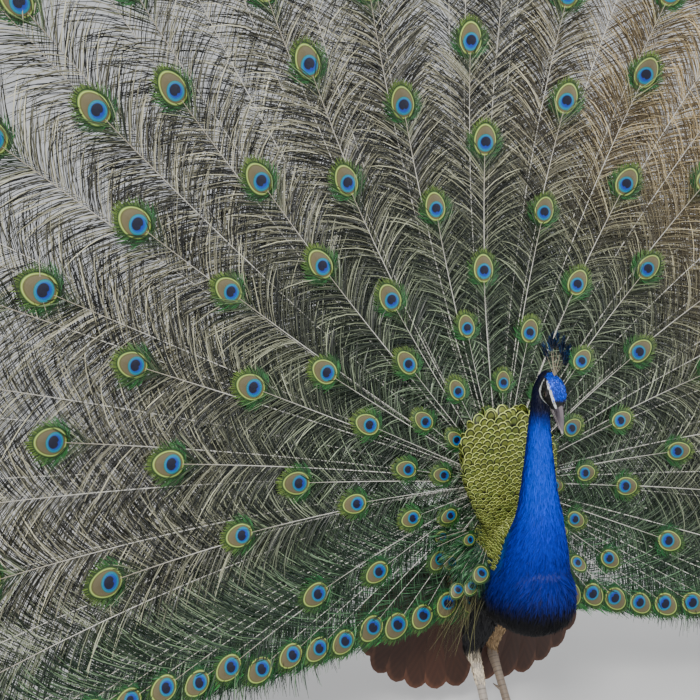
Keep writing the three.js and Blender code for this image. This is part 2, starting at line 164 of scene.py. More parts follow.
# ---------------------------------------------------------------- materials
class Shader:
    """A principled material with short ways to add nodes."""

    def __init__(self, name, **values):
        self.material = bpy.data.materials.new(name)
        self.material.use_nodes = True
        self.nodes = self.material.node_tree.nodes
        self.links = self.material.node_tree.links
        self.surface = self.nodes["Principled BSDF"]
        for key, value in values.items():
            self.surface.inputs[key.replace("_", " ")].default_value = value

    def put(self, socket, value):
        if isinstance(value, bpy.types.NodeSocket):
            self.links.new(value, socket)
        else:
            socket.default_value = value

    def attribute(self, name, output="Vector"):
        node = self.nodes.new("ShaderNodeAttribute")
        node.attribute_name = name
        return node.outputs[output]

    def split(self, vector):
        node = self.nodes.new("ShaderNodeSeparateXYZ")
        self.links.new(vector, node.inputs[0])
        return node.outputs

    def math(self, operation, a, b=0.0, c=0.0):
        node = self.nodes.new("ShaderNodeMath")
        node.operation = operation
        for socket, value in zip(node.inputs, (a, b, c)):
            self.put(socket, value)
        return node.outputs[0]

    def step(self, value, low, high, to_low=0.0, to_high=1.0):
        node = self.nodes.new("ShaderNodeMapRange")
        node.interpolation_type = "SMOOTHSTEP"
        for socket, given in zip(node.inputs, (value, low, high, to_low, to_high)):
            self.put(socket, given)
        return node.outputs[0]

    def mix(self, share, a, b, blend="MIX"):
        node = self.nodes.new("ShaderNodeMix")
        node.data_type = "RGBA"
        node.blend_type = blend
        self.put(node.inputs[0], share)
        for socket, value in ((node.inputs[6], a), (node.inputs[7], b)):
            self.put(socket, value if isinstance(value, bpy.types.NodeSocket) else (*value, 1))
        return node.outputs[2]

    def ramp(self, value, stops):
        node = self.nodes.new("ShaderNodeValToRGB")
        while len(node.color_ramp.elements) < len(stops):
            node.color_ramp.elements.new(0.5)
        for element, (place, colour) in zip(node.color_ramp.elements, stops):
            element.position = place
            element.color = (*colour, 1)
        self.put(node.inputs[0], value)
        return node.outputs[0]

    def noise(self, scale, detail=2.0):
        node = self.nodes.new("ShaderNodeTexNoise")
        node.inputs["Scale"].default_value = scale
        node.inputs["Detail"].default_value = detail
        self.links.new(self.nodes.new("ShaderNodeTexCoord").outputs["Object"], node.inputs["Vector"])
        return node.outputs[0]

    def bump(self, value, strength, distance):
        node = self.nodes.new("ShaderNodeBump")
        node.inputs["Strength"].default_value = strength
        node.inputs["Distance"].default_value = distance
        self.links.new(value, node.inputs["Height"])
        self.links.new(node.outputs[0], self.surface.inputs["Normal"])

    def colour(self, value):
        self.put(self.surface.inputs["Base Color"], value)

    def shade(self, value, low, high):
        """A grey factor as a colour, from low to high."""
        return self.ramp(value, [(0, (low,) * 3), (1, (high,) * 3)])

    def shaded(self, colour, value, low, high):
        """The colour times a grey factor that runs from low to high with the value."""
        return self.mix(1.0, colour, self.shade(value, low, high), "MULTIPLY")

    def reach(self, x, y):
        """Length of the vector (x, y)."""
        return self.math("SQRT", self.math("MULTIPLY_ADD", x, x, self.math("MULTIPLY", y, y)))

    def stripes(self, x, y, across, along):
        """Fine barb lines that fan out from a vane's middle line, 0 to 1."""
        lines = self.math("MULTIPLY_ADD", self.math("ABSOLUTE", x), across, self.math("MULTIPLY", y, along))
        return self.math("MULTIPLY_ADD", self.math("SINE", lines), 0.5, 0.5)


def painted(name, tip=1.25, root=0.75, grain=0.25, **values):
    """Feather material: the painted colour, darker at the root, lighter at the tip, with grain."""
    shader = Shader(name, **values)
    along, tone, _ = shader.split(shader.attribute("lie"))
    paint = shader.attribute("paint", "Color")
    lit = shader.shaded(paint, along, root, tip)
    varied = shader.shaded(lit, tone, 1 - grain, 1 + grain)
    shader.colour(shader.shaded(varied, shader.noise(260.0, 3.0), 1 - grain, 1 + grain))
    return shader.material


# ---------------------------------------------------------------- meshes from arrays
class Coat:
    """Collects grids of quads for one joined piece, with its bake map and its paint."""

    def __init__(self, name):
        self.name = name
        self.points, self.quads, self.uv, self.lie, self.paint, self.extra = [], [], [], [], [], []
        self.count = 0

    def grid(self, points, uv, lie, paint, extra=None):
        """points is (n, rows, columns, 3); uv, lie, paint and extra spread to the same shape."""
        n, rows, columns = points.shape[:3]
        index = self.count + np.arange(n * rows * columns).reshape(n, rows, columns)
        corners = (index[:, :-1, :-1], index[:, 1:, :-1], index[:, 1:, 1:], index[:, :-1, 1:])
        self.quads.append(np.stack(corners, -1).reshape(-1, 4))
        self.points.append(points.reshape(-1, 3))
        spread = lambda a, k: np.broadcast_to(a, (n, rows, columns, k)).reshape(-1, k)
        self.uv.append(spread(uv, 2))
        self.lie.append(spread(lie, 3))
        self.paint.append(spread(paint, 3))
        if extra is not None:
            self.extra.append(spread(extra, 3))
        self.count += n * rows * columns

    def strips(self, path, side, half, place, t, tone, colour):
        """Flat strips along paths (n, k, 3), each with its own bake patch, tone and colour."""
        lie = np.zeros((*path.shape[:2], 1, 3))
        lie[..., 0] = t[None, :, None]
        lie[..., 1] = tone.reshape(-1, 1, 1)
        uv = patches(place, len(t), 2)
        self.grid(strip_points(path, side, half), uv, lie, colour[:, None, None])

    def make(self, material, slot, *nodes, low=None):
        points = np.concatenate(self.points) + np.array([0, OFFSET, 0])
        if low is not None:
            points[:, 2] = np.maximum(points[:, 2], low)
        quads = np.concatenate(self.quads)
        mesh = bpy.data.meshes.new(self.name)
        mesh.vertices.add(len(points))
        mesh.vertices.foreach_set("co", points.astype(np.float32).ravel())
        mesh.loops.add(len(quads) * 4)
        mesh.loops.foreach_set("vertex_index", quads.astype(np.int32).ravel())
        mesh.polygons.add(len(quads))
        mesh.polygons.foreach_set("loop_start", np.arange(len(quads), dtype=np.int32) * 4)
        mesh.polygons.foreach_set("use_smooth", np.ones(len(quads), bool))
        uv = np.concatenate(self.uv)[quads.ravel()]
        mesh.uv_layers.new(name="OFBake").data.foreach_set("uv", uv.astype(np.float32).ravel())
        lie = mesh.attributes.new("lie", "FLOAT_VECTOR", "POINT")
        lie.data.foreach_set("vector", np.concatenate(self.lie).astype(np.float32).ravel())
        set_paint(mesh, np.concatenate(self.paint))
        if self.extra:
            extra = mesh.attributes.new("eye", "FLOAT_VECTOR", "POINT")
            extra.data.foreach_set("vector", np.concatenate(self.extra).astype(np.float32).ravel())
        mesh.update(calc_edges=True)
        mesh.validate()
        return finished(mesh, material, slot, *nodes)


def set_paint(mesh, paint):
    """Stores colours (n, 3) on the points of a mesh."""
    rgba = np.concatenate([paint, np.ones((len(paint), 1))], 1)
    layer = mesh.attributes.new("paint", "FLOAT_COLOR", "POINT")
    layer.data.foreach_set("color", rgba.astype(np.float32).ravel())


def finished(mesh, material, slot, *nodes):
    piece = bpy.data.objects.new(mesh.name, mesh)
    scene.collection.objects.link(piece)
    piece.data.materials.append(material)
    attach(piece, "root")
    if nodes:
        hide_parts(*nodes)
    return piece


def patches(place, rows, columns, size=0.003):
    """Bake patches: a small square of the map at each root's place, (n, rows, columns, 2)."""
    across, along = np.meshgrid(np.linspace(-0.5, 0.5, columns), np.linspace(-0.5, 0.5, rows))
    square = np.stack([across, along], -1) * size
    return place[:, None, None, :] + square[None]


def strip_points(path, side, half):
    """Flat strips along paths (n, k, 3), with side directions and half widths (n, k)."""
    wide = unit(side) * half[..., None]
    return np.stack([path - wide, path + wide], 2)


# ---------------------------------------------------------------- the train's surface
def train_reach(angle):
    fall = -np.cos(angle) - TRAIN_EDGE_SLOPE * np.abs(np.sin(angle))
    level = TRAIN_EDGE_DROP / np.maximum(fall, 0.02)
    return (TRAIN_RADIUS**-8 + level**-8) ** (-1 / 8)


def train_point(angle, d):
    bend = TRAIN_BEND + TRAIN_SIDE_BEND * np.sin(angle) ** 2
    lean = TRAIN_LEAN * (0.72 + 0.28 * np.cos(angle))
    y = TRAIN_Y + lean * d - bend * d * d
    return np.stack(np.broadcast_arrays(d * np.sin(angle), y, TRAIN_Z + d * np.cos(angle)), -1)


def train_frame(angle, d):
    """Point, outward and sideways directions, and the normal that faces the viewer."""
    e = 1e-4
    outward = unit(train_point(angle, d + e) - train_point(angle, d - e))
    across = unit(train_point(angle + e, d) - train_point(angle - e, d))
    front = unit(np.cross(across, outward))
    front = np.where(front[..., 1:2] > 0, -front, front)
    return train_point(angle, d), outward, across, front


# ---------------------------------------------------------------- the train's feathers
rng = np.random.default_rng(11)

# Rings of eyed feathers: distance of the eyes from the root, angle between feathers, first angle.
RINGS = [
    (0.118, 36, -9),
    (0.188, 28, -24),
    (0.288, 27, -12),
    (0.405, 28, -2),
    (0.525, 27.3, -14),
    (0.632, 27.3, -1),
    (0.730, 26.5, -16),
    (0.834, 25, -4),
    (0.908, 25.3, -16),
    (0.985, 17, -50),
    (1.058, 17, -41),
    (1.128, 17, -49),
]
EYED, EDGE, FISHTAIL = 0, 1, 2


def edge_row_height(x):
    return 0.203 + 0.06 * np.exp(-((abs(x) / 0.27) ** 2))


def eye_length(d):
    return 0.064 - 0.045 * math.exp(-d / 0.26)


def train_feathers():
    """Rows of (angle, distance of the eye or tip, kind, length of the eye's pale ring)."""
    rows = []
    for radius, every, first in RINGS:
        low = math.ceil((-158 - first) / every)
        high = math.floor((158 - first) / every)
        for k in range(low, high + 1):
            angle = math.radians(first + every * k + rng.normal(0, 1.1))
            d = radius * (1 + rng.normal(0, 0.012))
            x, z = d * math.sin(angle), TRAIN_Z + d * math.cos(angle)
            if z > edge_row_height(x) + 0.045:
                rows.append((angle, d, EYED, eye_length(d) * (1 + rng.normal(0, 0.04))))
    for side in (-1, 1):
        x = 0.058
        while x < 1.06:
            z = edge_row_height(x) + rng.normal(0, 0.004)
            angle = math.atan2(side * x, z - TRAIN_Z)
            rows.append((angle, math.hypot(x, z - TRAIN_Z), EDGE, 0.050 + 0.004 * rng.random()))
            x += 0.044 + 0.018 * x + 0.008 * rng.random()
    for k in range(TRAIN_LOBES):
        angle = -TRAIN_HALF_ANGLE + 2 * TRAIN_HALF_ANGLE * (k + 0.5) / TRAIN_LOBES
        if abs(angle) < math.radians(104):
            rows.append((angle, float(train_reach(angle)) * 0.995, FISHTAIL, 0.0))
    return rows


def forward_of(length):
    """How far in front of the fan's sheet a feather lies; short feathers lie over long ones."""
    return 0.003 + 0.022 * (1 - np.asarray(length) / 1.2)


FRONT_LIMIT = -0.385
GREEN = srgb(50, 98, 38)
EMERALD = srgb(8, 88, 46)
GREY_GREEN = srgb(44, 84, 58)
# Dark and pale olive of the barbs: painted shade and painted highlight of one olive brown.
SHADED_OLIVE = srgb(8, 10, 8)
LIT_OLIVE = srgb(204, 200, 170)
BRONZE = srgb(220, 186, 124)


def barb_paint(angle, d, gap, height, tone):
    """Colour of the loose barbs: olive brown, greener inside, below and beside the eyes; the spread from dark
    to pale with the tone is painted shade and painted highlight.
    """
    colour = mix(SHADED_OLIVE, LIT_OLIVE, tone)
    warm = smooth(0.0, 0.5, angle) * (1 - smooth(1.2, 1.7, angle)) * smooth(0.35, 0.8, d)
    colour = mix(colour, BRONZE * (0.25 + 0.9 * tone[..., None]), 0.6 * warm)
    colour = mix(colour, GREY_GREEN * (0.25 + 1.9 * tone[..., None]), 0.7 * (1 - smooth(0.16, 0.72, d)))
    colour = mix(colour, GREEN * (0.4 + 1.0 * tone[..., None]), 0.85 * (1 - smooth(0.0, 0.055, gap)))
    x = np.abs(d * np.sin(angle))
    below = 1 - smooth(0.0, 0.24 + 0.12 * np.exp(-((x / 0.3) ** 2)), height - edge_row_height(x))
    return mix(colour, EMERALD * (0.3 + 1.5 * tone[..., None]), 0.72 * below)


def barb_rows(feathers):
    """Root of every barb: feather number, its place in the piece, angle, d, gap to the eye, side."""
    rows = []
    for number, (angle, reach, kind, ring) in enumerate(feathers):
        end = reach - 0.46 * ring if kind != FISHTAIL else reach - 0.012
        d = max(0.055, 0.16 * reach)
        row = 0
        while d < end:
            gap = end - d
            for side in (-1, 1):
                rows.append((number, row, angle, d, gap, side, reach, kind))
            near = 0.0025 if kind != FISHTAIL else 0.0028
            away = 0.0031 if d > 0.32 else 0.0058
            d += near + (away - near) * float(smooth(0.05, 0.1, gap))
            row += 1
    return np.array(rows)


def train_barbs(name, feathers):
    coat = Coat(name)
    rows = barb_rows(feathers)
    number, row, angle, d, gap, side, reach, kind = rows.T
    n = len(rows)
    fishtail = kind == FISHTAIL
    grown = 0.42 + 0.58 * smooth(0.1, 0.7, reach)
    length = (0.066 + 0.05 * smooth(0.1, 0.5, d)) * grown
    length = length * np.where(fishtail, 1.0, 0.52 + 0.48 * smooth(0.0, 0.09, gap))
    length = length * np.where(fishtail, 0.72 + 0.28 * smooth(0.0, 0.12, gap), 1.0)
    length = length * rng.uniform(0.82, 1.12, n)
    near = 1 - smooth(0.0, 0.075, gap)
    first = np.radians(np.where(fishtail, 40 - 14 * near, 41 - 3 * near) + rng.normal(0, 4, n))
    turn = np.radians(np.where(fishtail, 26 - 20 * near, 34 - 52 * near) + rng.normal(0, 8, n))
    turn = np.where(np.abs(turn) < 1e-3, 1e-3, turn)
    t = np.array([0, 0.25, 0.52, 0.78, 1.0])[None]
    first, turn = first[:, None], turn[:, None]
    along = (np.sin(first + turn * t) - np.sin(first)) / turn * length[:, None]
    sideways = -(np.cos(first + turn * t) - np.cos(first)) / turn * length[:, None] * side[:, None]
    root, outward, across, front = train_frame(angle, d)
    lift = forward_of(reach)[:, None] + 0.0045 * np.sin(np.pi * t) * rng.uniform(-0.6, 1, (n, 1))
    lift = lift - 0.004 * t * rng.uniform(0, 1, (n, 1))
    path = (
        root[:, None]
        + outward[:, None] * along[..., None]
        + across[:, None] * sideways[..., None]
        + front[:, None] * lift[..., None]
    )
    path[..., 2] -= 0.008 * t**2 * np.abs(np.sin(angle))[:, None] * rng.uniform(0.3, 1.4, (n, 1))
    path[..., 1] = np.maximum(path[..., 1], FRONT_LIMIT + 0.25 * (path[..., 1] - FRONT_LIMIT))
    roll = np.radians(rng.uniform(-42, 42, n))[:, None, None]
    flat = unit(side_of(path, front[:, None]))
    side_way = flat * np.cos(roll) + front[:, None] * np.sin(roll)
    profile = np.array([0.8, 1.0, 1.0, 0.85, 0.3])[None]
    half = 0.00072 * rng.uniform(0.75, 1.2, n)[:, None] * profile * (0.75 + 0.25 * grown[:, None])
    # Most barbs get a dark tone as painted shade of the deeper layers; the few pale ones carry a painted
    # highlight.
    tone = rng.random(n) ** 3.6
    height = TRAIN_Z + d * np.cos(angle)
    colour = barb_paint(angle, d, np.where(fishtail, 0.2 + gap, gap), height, tone)
    count = len(feathers)
    longest = row.max() + 1
    place = np.stack([(number + 0.5 + 0.22 * side) / count, (row + 0.5) / longest], -1)
    coat.strips(path, side_way, half, place, t[0], tone, colour)
    return coat


def train_shafts(feathers):
    """Closed tapering quills from the root to each eye or tip."""
    coat = Coat("train_shafts")
    angle, reach, kind, ring = np.array(feathers).T
    n, rows = len(feathers), 13
    s = np.linspace(0, 1, rows)[None]
    d = 0.035 + (reach[:, None] + 0.2 * ring[:, None] - 0.035) * s
    point, outward, across, front = train_frame(angle[:, None], d)
    middle = point + front * forward_of(reach)[:, None, None]
    thick = (0.0014 - 0.0008 * s**0.8) * (0.55 + 0.45 * smooth(0.15, 0.7, reach))[:, None]
    turn = np.linspace(0, 2 * math.pi, 5)
    ring_points = (
        middle[:, :, None]
        + across[:, :, None] * (thick[..., None] * np.cos(turn))[..., None]
        + front[:, :, None] * (thick[..., None] * np.sin(turn))[..., None] * 0.9
    )
    place = np.stack([middles(n), np.full(n, 0.5)], -1)
    uv = np.empty((n, rows, 5, 2))
    uv[..., 0] = place[:, None, None, 0] + np.linspace(-0.35, 0.35, 5) / n
    uv[..., 1] = 0.02 + 0.96 * s[..., None]
    lie = np.zeros((n, rows, 5, 3))
    lie[..., 0] = s[..., None]
    lie[..., 1] = rng.random(n)[:, None, None]
    pale, brown = srgb(220, 218, 208), srgb(140, 122, 92)
    colour = mix(pale, brown, 0.8 * smooth(0.72, 1.0, s))[:, :, None]
    coat.grid(ring_points, uv, lie, colour)
    return coat


EYE_RIM = 1.16  # edge of an eyed vane, in half lengths of its pale ring


def square_cells(number, n):
    """Cells of a square map that hold n things, as (column, row), and the cells in one row."""
    cells = math.ceil(math.sqrt(n))
    return np.stack([number % cells, number // cells], -1), cells


def eyed(feathers):
    """Angle, distance, kind and ring length of the feathers that end in an eye."""
    return np.array([f for f in feathers if f[2] != FISHTAIL]).T


def lay_eyes(coat, point, outward, across, front, ring, wide):
    """Shallow egg-shaped vanes at points (n, 3); ring is the length of the eye's pale ring."""
    n = len(point)
    rows, columns = 7, 25
    rho = np.linspace(0.0, EYE_RIM, rows)[:, None] + 0.002
    turn = np.linspace(0, 2 * math.pi, columns)[None]
    x, y = rho * np.sin(turn), rho * np.cos(turn)
    half = (ring / 2)[:, None, None, None]
    shape = (1 - 0.10 * y)[None]
    dome = -0.004 * (rho**2)[None, ..., None] * half / 0.03
    points = (
        point[:, None, None]
        + across[:, None, None] * half * wide[:, None, None, None] * (x[None] * shape)[..., None]
        + outward[:, None, None] * half * y[None, ..., None]
        + front[:, None, None] * dome
    )
    cell, cells = square_cells(np.arange(n), n)
    local = np.stack([x, y], -1)[None] / EYE_RIM * 0.44 + 0.5
    uv = (cell[:, None, None] + local) / cells
    eye = np.stack(np.broadcast_arrays(x[None], y[None], rng.random(n)[:, None, None]), -1)
    lie = np.zeros((n, rows, columns, 3))
    lie[..., 1] = rng.random(n)[:, None, None]
    coat.grid(points, uv, lie, np.array([0.2, 0.3, 0.1]), eye)


def train_eyes(feathers):
    """The eyed vanes, whose pattern is drawn by the material."""
    coat = Coat("train_eyes")
    angle, reach, kind, ring = eyed(feathers)
    point, outward, across, front = train_frame(angle, reach)
    wide = 0.76 + 0.06 * (kind == EDGE) + rng.normal(0, 0.02, len(angle))
    point = point + front * (forward_of(reach) + 0.0035)[:, None]
    lay_eyes(coat, point, outward, across, front, ring, wide)
    return coat


def train_fringe(feathers):
    """Loose green barbs that stand out round each eyed vane."""
    coat = Coat("train_fringe")
    angle, reach, kind, ring = eyed(feathers)
    n, each = len(angle), 110
    phi = middles(each) * 2 * math.pi - math.pi
    phi = phi[None] + rng.normal(0, 0.03, (n, each))
    half = (ring / 2)[:, None]
    wide = half * 0.78
    x = np.sin(phi) * wide * 1.02 * (1 - 0.1 * np.cos(phi))
    y = np.cos(phi) * half * 1.02
    heading_angle = phi * 0.62 + rng.normal(0, 0.1, phi.shape)
    length = (0.011 + 0.010 * smooth(0.6, 2.4, np.abs(phi))) * (ring / 0.062)[:, None] ** 0.7
    length = length * rng.uniform(0.6, 1.25, phi.shape)
    t = np.array([0, 0.55, 1.0])
    point, outward, across, front = train_frame(angle, reach)
    bend = heading_angle[..., None] * (1 - 0.25 * t)
    px = x[..., None] + np.sin(bend) * length[..., None] * t
    py = y[..., None] + np.cos(bend) * length[..., None] * t
    lift = forward_of(reach)[:, None, None] - 0.0005 - 0.002 * t + rng.uniform(0, 0.0015, (n, each, 1))
    path = (
        point[:, None, None]
        + across[:, None, None] * px[..., None]
        + outward[:, None, None] * py[..., None]
        + front[:, None, None] * lift[..., None]
    ).reshape(-1, 3, 3)
    flat = side_of(path, np.repeat(front, each, 0)[:, None])
    half_width = 0.00062 * np.array([1.0, 0.95, 0.3])[None] * rng.uniform(0.8, 1.2, (n * each, 1))
    tone = rng.random(n * each)
    side_share = smooth(0.5, 2.2, np.abs(phi)).ravel()
    low = ((TRAIN_Z + reach * np.cos(angle)) < 0.36).repeat(each)
    colour = mix(srgb(96, 120, 50), srgb(40, 100, 46), side_share)
    colour = mix(colour, EMERALD, np.where(low, 0.5, 0.0)) * (0.35 + 0.9 * tone)[:, None]
    cell, cells = square_cells(np.repeat(np.arange(n), each), n)
    around = np.stack([np.sin(phi), np.cos(phi)], -1).reshape(-1, 2) * 0.42 + 0.5
    place = (cell + around) / cells
    coat.strips(path, flat, half_width, place, t, tone, colour)
    return coat


def edge_fringe():
    """The dense emerald border under the lowest row of eyes."""
    coat = Coat("train_edge_fringe")
    n = 5200
    side = np.where(np.arange(n) % 2 == 0, -1.0, 1.0)
    x = 0.045 + 1.06 * rng.random(n)
    z = edge_row_height(x) - 0.004 + rng.uniform(-0.012, 0.022, n)
    angle = np.arctan2(side * x, z - TRAIN_Z)
    d = np.hypot(x, z - TRAIN_Z)
    point, outward, across, front = train_frame(angle, d)
    downward = np.array([0, 0, -1.0])
    slant = np.radians(rng.normal(46, 9, n))[:, None]
    flow = np.stack([side, 0 * side, 0 * side], -1)
    first = unit(flow * np.sin(slant) + downward * np.cos(slant))
    length = rng.uniform(0.022, 0.036, n)[:, None]
    t = np.array([0, 0.5, 1.0])
    path = point[:, None] + first[:, None] * (length * t)[..., None]
    path = path + flow[:, None] * (length * 0.25 * t**2)[..., None]
    path = path + front[:, None] * (forward_of(d)[:, None] - 0.004 + rng.uniform(0, 0.005, (n, 1)))[..., None]
    flat = side_of(path, front[:, None])
    half_width = 0.0009 * np.array([1.0, 0.95, 0.3])[None] * rng.uniform(0.8, 1.2, (n, 1))
    tone = rng.random(n)
    colour = mix(srgb(6, 48, 30), srgb(60, 148, 70), tone**1.6)
    place = np.stack([0.5 + side * x * 0.43, 0.5 + (z - 0.23) * 4], -1)
    coat.strips(path, flat, half_width, place, t, tone, colour)
    return coat


def eye_material():
    """Eye pattern: pale ring, taupe field, turquoise and blue disc, navy heart."""
    shader = Shader("train_eye_pattern", Roughness=0.42, Metallic=0.15)
    x, y, seed = shader.split(shader.attribute("eye"))
    squares = shader.math("ADD", shader.math("MULTIPLY", x, x), shader.math("MULTIPLY", y, y))
    rho = shader.math("SQRT", squares)
    wide = shader.math("MULTIPLY", x, 0.78)

    def distance(centre, stretch):
        return shader.reach(wide, shader.math("MULTIPLY", shader.math("SUBTRACT", y, centre), stretch))

    border = shader.ramp(
        shader.math("DIVIDE", rho, EYE_RIM),
        [
            (0.0, srgb(92, 82, 58)),
            (0.62, srgb(112, 104, 74)),
            (0.70, srgb(92, 92, 48)),
            (0.742, srgb(176, 196, 96)),
            (0.766, srgb(190, 214, 116)),
            (0.79, srgb(110, 140, 56)),
            (0.84, srgb(30, 58, 24)),
            (1.0, srgb(58, 96, 42)),
        ],
    )
    copper = shader.math("MULTIPLY", shader.step(y, -0.5, -0.82), shader.step(rho, 0.82, 0.7))
    border = shader.mix(copper, border, srgb(112, 96, 60))
    disc = distance(-0.19, 1.0)
    disc_colour = shader.ramp(
        shader.math("DIVIDE", disc, 0.6),
        [
            (0.0, srgb(0, 28, 148)),
            (0.52, srgb(0, 66, 176)),
            (0.68, srgb(0, 118, 176)),
            (0.80, srgb(0, 138, 146)),
            (0.88, srgb(16, 78, 70)),
            (1.0, srgb(60, 84, 50)),
        ],
    )
    inside = shader.mix(shader.step(disc, 0.54, 0.50), border, disc_colour)
    dent = shader.math("MULTIPLY", shader.step(shader.math("ABSOLUTE", wide), 0.12, 0.0), 0.08)
    dented = shader.math("MULTIPLY", dent, shader.step(y, -0.1, -0.3))
    heart = shader.math("ADD", distance(-0.12, 1.1), dented)
    coloured = shader.mix(shader.step(heart, 0.355, 0.30), inside, srgb(3, 4, 40))
    stripe = shader.stripes(x, y, 60.0, -90.0)
    streaked = shader.shaded(coloured, stripe, 0.75, 1.1)
    shader.colour(shader.shaded(streaked, seed, 0.88, 1.1))
    shader.bump(stripe, 0.25, 0.0004)
    return shader.material


def build_train():
    feathers = train_feathers()
    barbs = painted("train_barbs", tip=1.15, root=0.8, grain=0.18, Roughness=0.4, Metallic=0.1)
    nodes = ["train_right_low", "train_right_high", "train_top", "train_left_high", "train_left_low"]
    order = sorted(feathers, key=lambda f: f[0])
    groups = 5
    for k in range(groups):
        coat = train_barbs(f"train_barbs_{k + 1}", order[k::groups])
        coat.make(barbs, "train", *nodes)
    shafts = painted("train_quills", tip=1.0, root=1.0, grain=0.06, Roughness=0.35)
    train_shafts(order).make(shafts, "train", *nodes)
    train_eyes(order).make(eye_material(), "train", *nodes)
    fringe = painted("train_fringe_barbs", tip=1.2, root=0.75, grain=0.2, Roughness=0.4, Metallic=0.15)
    train_fringe(order).make(fringe, "train", *nodes)
    edge_fringe().make(fringe, "train", *nodes)


build_train()


# ---------------------------------------------------------------- smooth bodies of the bird
def curve(values, t):
    """Catmull-Rom value at t (0..1) through evenly spaced numbers."""
    values = np.asarray(values, float)
    last = len(values) - 1
    place = np.asarray(t) * last
    i = np.minimum(np.floor(place).astype(int), last - 1)
    f = place - i
    a, b, c, d = (values[np.clip(i + k, 0, last)] for k in (-1, 0, 1, 2))
    return b + 0.5 * f * (c - a + f * (2 * a - 5 * b + 4 * c - d + f * (3 * (b - c) + d - a)))


class Loft:
    """A smooth closed body through stations (x, y, z, half width, above, below), all in mm."""

    def __init__(self, stations, caps, rows=30, sides=40, grow=0.0, lateral=(1, 0, 0), frame=None):
        t = np.linspace(0, 1, rows)
        values = np.stack([curve(column, t) for column in zip(*stations)], -1)
        centre, size = values[:, :3], values[:, 3:]
        along = unit(np.gradient(centre, axis=0))
        round_off = np.radians([20, 40, 58, 74, 86])
        parts = [
            (centre[0] - along[0] * caps[0] * np.sin(round_off[::-1])[:, None], 0, round_off[::-1]),
            (centre, None, None),
            (centre[-1] + along[-1] * caps[1] * np.sin(round_off)[:, None], -1, round_off),
        ]
        centres, sizes, alongs, shrink, place = [], [], [], [], []
        for middle, end, turn in parts:
            n = len(middle)
            centres.append(middle)
            sizes.append(size if end is None else np.repeat(size[end][None], n, 0))
            alongs.append(along if end is None else np.repeat(along[end][None], n, 0))
            shrink.append(np.ones(n) if end is None else np.cos(turn))
            place.append(t if end is None else np.full(n, t[end]))
        centre, size = np.concatenate(centres), np.concatenate(sizes)
        along, shrink = np.concatenate(alongs), np.concatenate(shrink)
        lateral = np.asarray(lateral, float)
        across = unit(lateral - along * (along @ lateral)[:, None])
        up = np.cross(across, along)
        phi = np.linspace(0, 2 * math.pi, sides, endpoint=False)
        wide, above, below = (np.maximum(w * shrink + grow, 0.25)[:, None] for w in size.T)
        tall = np.where(np.sin(phi) > 0, above, below)
        points = centre[:, None] + across[:, None] * (wide * np.cos(phi))[..., None]
        points = (points + up[:, None] * (tall * np.sin(phi))[..., None]) / 1000
        along = np.repeat(along[:, None], sides, 1)
        if frame is not None:
            points, along = moved(frame, points), turned(frame, along)
        self.points, self.along = points, along
        self.t = np.repeat(np.concatenate(place)[:, None], sides, 1)
        self.share = np.repeat(np.linspace(0, 1, len(centre))[:, None], sides, 1)
        self.phi = np.broadcast_to(phi, self.t.shape)

    def mesh(self):
        """Vertices and faces of the closed body."""
        rows, sides = self.t.shape
        index = np.arange(rows * sides).reshape(rows, sides)
        turned_index = np.roll(index, -1, 1)
        quads = np.stack([index[:-1], index[1:], turned_index[1:], turned_index[:-1]], -1).reshape(-1, 4)
        faces = [list(map(int, q)) for q in quads]
        faces.append([int(k) for k in index[0]])
        faces.append([int(k) for k in index[-1][::-1]])
        return self.points.reshape(-1, 3), faces


def moved(frame, points):
    m = np.array(frame)
    return points @ m[:3, :3].T + m[:3, 3]


def turned(frame, vectors):
    return vectors @ np.array(frame)[:3, :3].T


TRUNK = [
    [0, -172, 302, 48, 50, 48],
    [0, -138, 303, 68, 84, 70],
    [0, -88, 305, 75, 112, 83],
    [0, -34, 309, 76, 124, 87],
    [0, 20, 317, 73, 121, 84],
    [0, 70, 337, 60, 99, 66],
    [0, 108, 364, 36, 62, 38],
]
NECK = [
    [0, -98, 300, 66, 56, 58],
    [0, -106, 346, 66, 64, 62],
    [0, -119, 394, 55, 54, 56],
    [0, -126, 440, 42.5, 41, 44],
    [0, -124, 488, 33.5, 32, 34],
    [0, -123, 536, 27.5, 26, 27.5],
    [0, -122, 584, 22.3, 21, 22.5],
    [0, -125, 628, 18.8, 17, 21.5],
    [0, -132, 662, 19, 16, 21],
    [0, -146, 690, 16, 11, 14],
]
BACK = [
    [0, -46, 392, 58, 20, 14],
    [0, -36, 436, 80, 26, 18],
    [0, -24, 484, 95, 26, 18],
    [0, -13, 534, 100, 21, 14],
    [0, -5, 580, 86, 14, 10],
    [0, 0, 606, 54, 9, 7],
]
SKULL = [
    [0, -29, 1, 12.5, 12.5, 13],
    [0, -18, 1, 18.5, 18.5, 19],
    [0, -5, 1.5, 20.5, 20.5, 20.5],
    [0, 8, 1.5, 18.8, 18.6, 19],
    [0, 18, 0, 15, 14.6, 15.5],
    [0, 26, -3, 11, 11, 11.5],
]
CHEEKS = [
    [0, -25, -9, 13, 12, 14],
    [0, -14, -11, 17.8, 14, 16],
    [0, -2, -12, 18.4, 12, 13.5],
    [0, 9, -10.5, 15.8, 9, 8.5],
    [0, 19, -8.5, 11, 6, 4.5],
]
UPPER_BILL = [
    [0, 22, -5, 9.6, 15.6, 1.6],
    [0, 34, -5.4, 8, 12.4, 1.6],
    [0, 46, -6, 6, 9, 1.5],
    [0, 56, -7.6, 4.2, 6, 1.4],
    [0, 64, -10.2, 2.3, 3.4, 1.3],
]
LOWER_BILL = [
    [0, 20, -9.4, 9, 2, 6],
    [0, 34, -9.4, 7.4, 1.8, 5],
    [0, 46, -10, 5.2, 1.6, 4],
    [0, 57, -12, 2.6, 1.2, 2.2],
]
